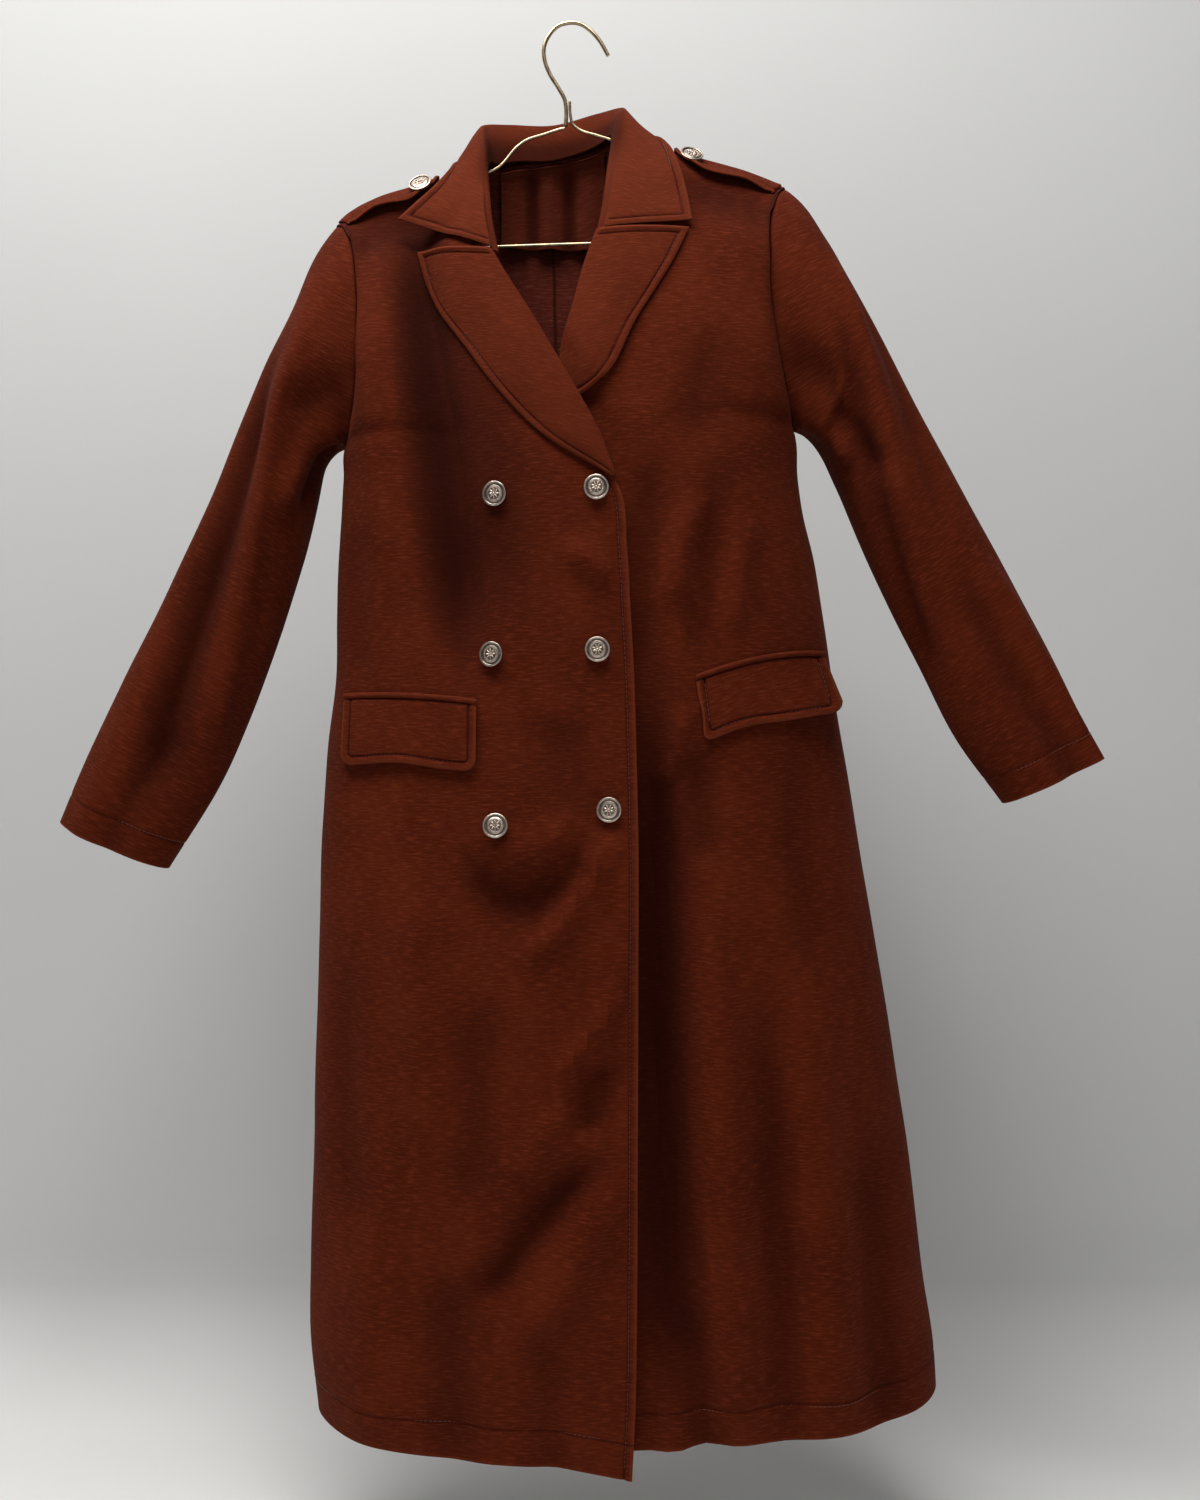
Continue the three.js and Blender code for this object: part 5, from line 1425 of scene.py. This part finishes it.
# %% Buttons in their places
BUTTONS = [
    ("top_right", -68, -457, 0), ("top_left", 23, -453.5, 0), ("middle_right", -68, -598, 0.1),
    ("middle_left", 24, -594, 0.1), ("bottom_right", -64, -748, 0.4), ("bottom_left", 35, -733.5, 0.8),
]
STRAP_BUTTONS = [("strap_right", -139, 9, front_right, 0.6), ("strap_left", 110, 9, front_left, 0.65)]


def set_button(name, place, out, turn):
    lay = Vector(out).to_track_quat("Z", "Y").to_matrix().to_4x4()
    where = Matrix.Translation(Vector(place) * MM) @ lay @ Matrix.Rotation(turn, 4, "Z")
    piece = copied(button_pattern, where @ Matrix.Scale(MM, 4))
    piece.name = piece.data.name = name + "_cast"
    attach(piece, "root")
    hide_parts(name)


for k, (name, x, z, seat) in enumerate(BUTTONS):
    set_button("button_" + name, front_right.lifted(x, z, seat), front_right.outward(x, z), 0.4 * k)
for name, x, drop, panel, seat in STRAP_BUTTONS:
    z = float(shoulder_at(x)) - drop
    set_button("button_" + name, panel.lifted(x, z, FLAP_CLOTH + GAP + seat), panel.outward(x, z), 0.3)
bpy.data.objects.remove(button_pattern)
print("Buttons:", len(BUTTONS) + len(STRAP_BUTTONS))

# %% [markdown]
# The hanger is bent wire. A curve with a round bevel is the quickest way to a smooth wire, and it is
# turned into a mesh at the end. The ends of the hook are rounded with a small bevel.

# %% Hanger
# The wires lie in one plane: x and z of their knots.
HOOK = [
    (34, -29), (26, -15), (17, -5), (7, 1.2), (-3, 2), (-13, -1), (-21, -9), (-26, -20), (-26, -32),
    (-21, -46), (-13, -59), (-7, -70), (-5.5, -82), (-6, -95),
]
FRAME = [
    (-2.1, -72), (-1.6, -84), (0.6, -93), (8, -99), (22, -103.5), (44, -110), (90, -123.5), (140, -138.5),
    (172, -150), (184, -160), (185, -178), (178, -194), (160, -200.5), (60, -204), (-60, -208),
    (-170, -213), (-186, -211), (-194, -201), (-195, -190), (-188, -178), (-165, -165.5), (-130, -154),
    (-84, -140.5), (-68, -133), (-52, -115), (-42, -108), (-25, -102.5), (-12, -98.2), (-7, -97.2),
]
POINTS_PER_KNOT = 9


def wire(name, points, diameter):
    knots = np.array([[(x, 0, z)] for x, z in points], float)
    fine = smooth_path(knots, np.linspace(0, len(points) - 1, len(points) * POINTS_PER_KNOT))
    path = bpy.data.curves.new(name + "_wire", "CURVE")
    path.dimensions = "3D"
    path.bevel_depth = diameter / 2 * MM
    path.bevel_resolution = 6
    path.use_fill_caps = True
    line = path.splines.new("POLY")
    line.points.add(len(fine) - 1)
    for point, place in zip(line.points, fine[:, 0]):
        point.co = (*(place * MM), 1)
    select_only(new_object(name + "_wire", path))
    bpy.ops.object.convert(target="MESH")
    piece = bpy.context.object
    mode("EDIT")
    bpy.ops.mesh.select_all(action="SELECT")
    bpy.ops.mesh.remove_doubles(threshold=0.00001)
    bpy.ops.mesh.normals_make_consistent(inside=False)
    mode("OBJECT")
    bevelled(piece, diameter * 0.2 * MM, 3, 60)
    smooth_below(50)
    piece.data.materials.clear()
    piece.data.materials.append(gold)
    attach(piece, "root")
    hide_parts(name)
    print(f"{name}: {len(piece.data.polygons)} faces")


wire("hanger_hook", HOOK, 4.0)
wire("hanger_frame", FRAME, 2.8)

# %% [markdown]
# The coat hangs in front of a plain pale sweep, a floor that curves up into a wall, as in a studio, and
# far in front of it the floor curves up again. The wall stands close behind the coat, so its back face is
# clear, and the back of the coat can be seen.

# %% Floor and wall
FLOOR, WALL, FAR_END, WIDE, HIGH, SWEEP_ROUND = -1.440, 0.42, -5.0, 9, 5.0, 0.16


def sweep():
    bpy.ops.mesh.primitive_plane_add(size=1, location=(0, 0, 0))
    stage = bpy.context.object
    stage.name = "floor"
    for vertex in stage.data.vertices:
        vertex.co = (vertex.co.x * WIDE, WALL if vertex.co.y > 0 else FAR_END, FLOOR)
    mode("EDIT")
    bpy.ops.mesh.select_mode(type="EDGE")
    bpy.ops.mesh.select_all(action="DESELECT")
    mode("OBJECT")
    for edge in stage.data.edges:
        start, end = (stage.data.vertices[k].co.y for k in edge.vertices)
        edge.select = start == end
    mode("EDIT")
    bpy.ops.mesh.extrude_region_move(TRANSFORM_OT_translate={"value": (0, 0, HIGH)})
    mode("OBJECT")
    bevelled(stage, SWEEP_ROUND, 14, 40)
    largest = max(stage.data.polygons, key=lambda face: face.area * abs(face.normal.z))
    if largest.normal.z < 0:
        stage.data.flip_normals()
    bpy.ops.object.shade_smooth()
    return stage


def paper_material():
    paper = Surface("pale_paper")
    cloud = paper.noise(paper.place(), 1.6, 3)
    wall = paper.tinted(cloud, (0.60, 0.605, 0.605, 1), (0.67, 0.675, 0.675, 1))
    height = paper.add("ShaderNodeSeparateXYZ", {0: paper.place()}).outputs["Z"]
    # Painted light: the floor is painted much paler than the wall, as the light from above falls on it.
    low = paper.ranged(height, FLOOR + 0.12, FLOOR)
    clear = paper.add("ShaderNodeBsdfTransparent")
    from_behind = paper.add("ShaderNodeNewGeometry").outputs["Backfacing"]
    both = paper.add("ShaderNodeMixShader", {
        0: from_behind, 1: paper.shader.outputs[0], 2: clear.outputs[0]})
    paper.link(both.outputs[0], paper.nodes["Material Output"].inputs["Surface"])
    return paper.finished(paper.tinted(low, wall, (0.95, 0.95, 0.945, 1)), Roughness=0.95)


floor = sweep()
floor.data.materials.append(paper_material())
print("The floor lies at", FLOOR, "m and the wall at", WALL, "m")

# %% [markdown]
# A large soft lamp hangs high in front of the coat, so the collar and the shoulders are bright and the
# skirt is darker. A weak wide one in front fills the shade, and the room gives a little light of its own.

# %% Light
LAMP_COLOUR = (1, 0.985, 0.96)


def lamp(name, place, aim, wide, high, power):
    bpy.ops.object.light_add(type="AREA", location=place)
    made = bpy.context.object
    made.name = name
    made.data.shape = "RECTANGLE"
    made.data.size, made.data.size_y = wide, high
    made.data.energy = power
    made.data.color = LAMP_COLOUR
    made.rotation_euler = (Vector(aim) - Vector(place)).to_track_quat("-Z", "Y").to_euler()


lamp("high_lamp", (-0.4, -0.78, 1.35), (0.0, 0.0, -0.45), 2.0, 0.8, 60)
lamp("front_fill", (0.3, -3.0, -0.4), (0.0, 0.0, -0.7), 2.6, 2.0, 3.5)
room = bpy.data.worlds.new("room")
room.use_nodes = True
air = room.node_tree.nodes["Background"].inputs
air["Color"].default_value = (0.9, 0.95, 1.0, 1)
air["Strength"].default_value = 0.055
bpy.context.scene.world = room

# %% [markdown]
# The camera looks level at the coat from a metre and a half, at the height of its waist, as in the
# photograph. Its view takes in 1.41 metres from top to bottom at the hanger.

# %% Camera
bpy.ops.object.camera_add(location=(0.0263, -1.5, -0.6815), rotation=(math.radians(90), 0, 0))
camera = bpy.context.object
camera.data.sensor_width, camera.data.lens = 36, 38.3
bpy.context.scene.camera = camera
bpy.context.scene.view_settings.view_transform = "Standard"
print("Camera:", [round(v, 3) for v in camera.location], "lens", round(camera.data.lens, 1), "mm")
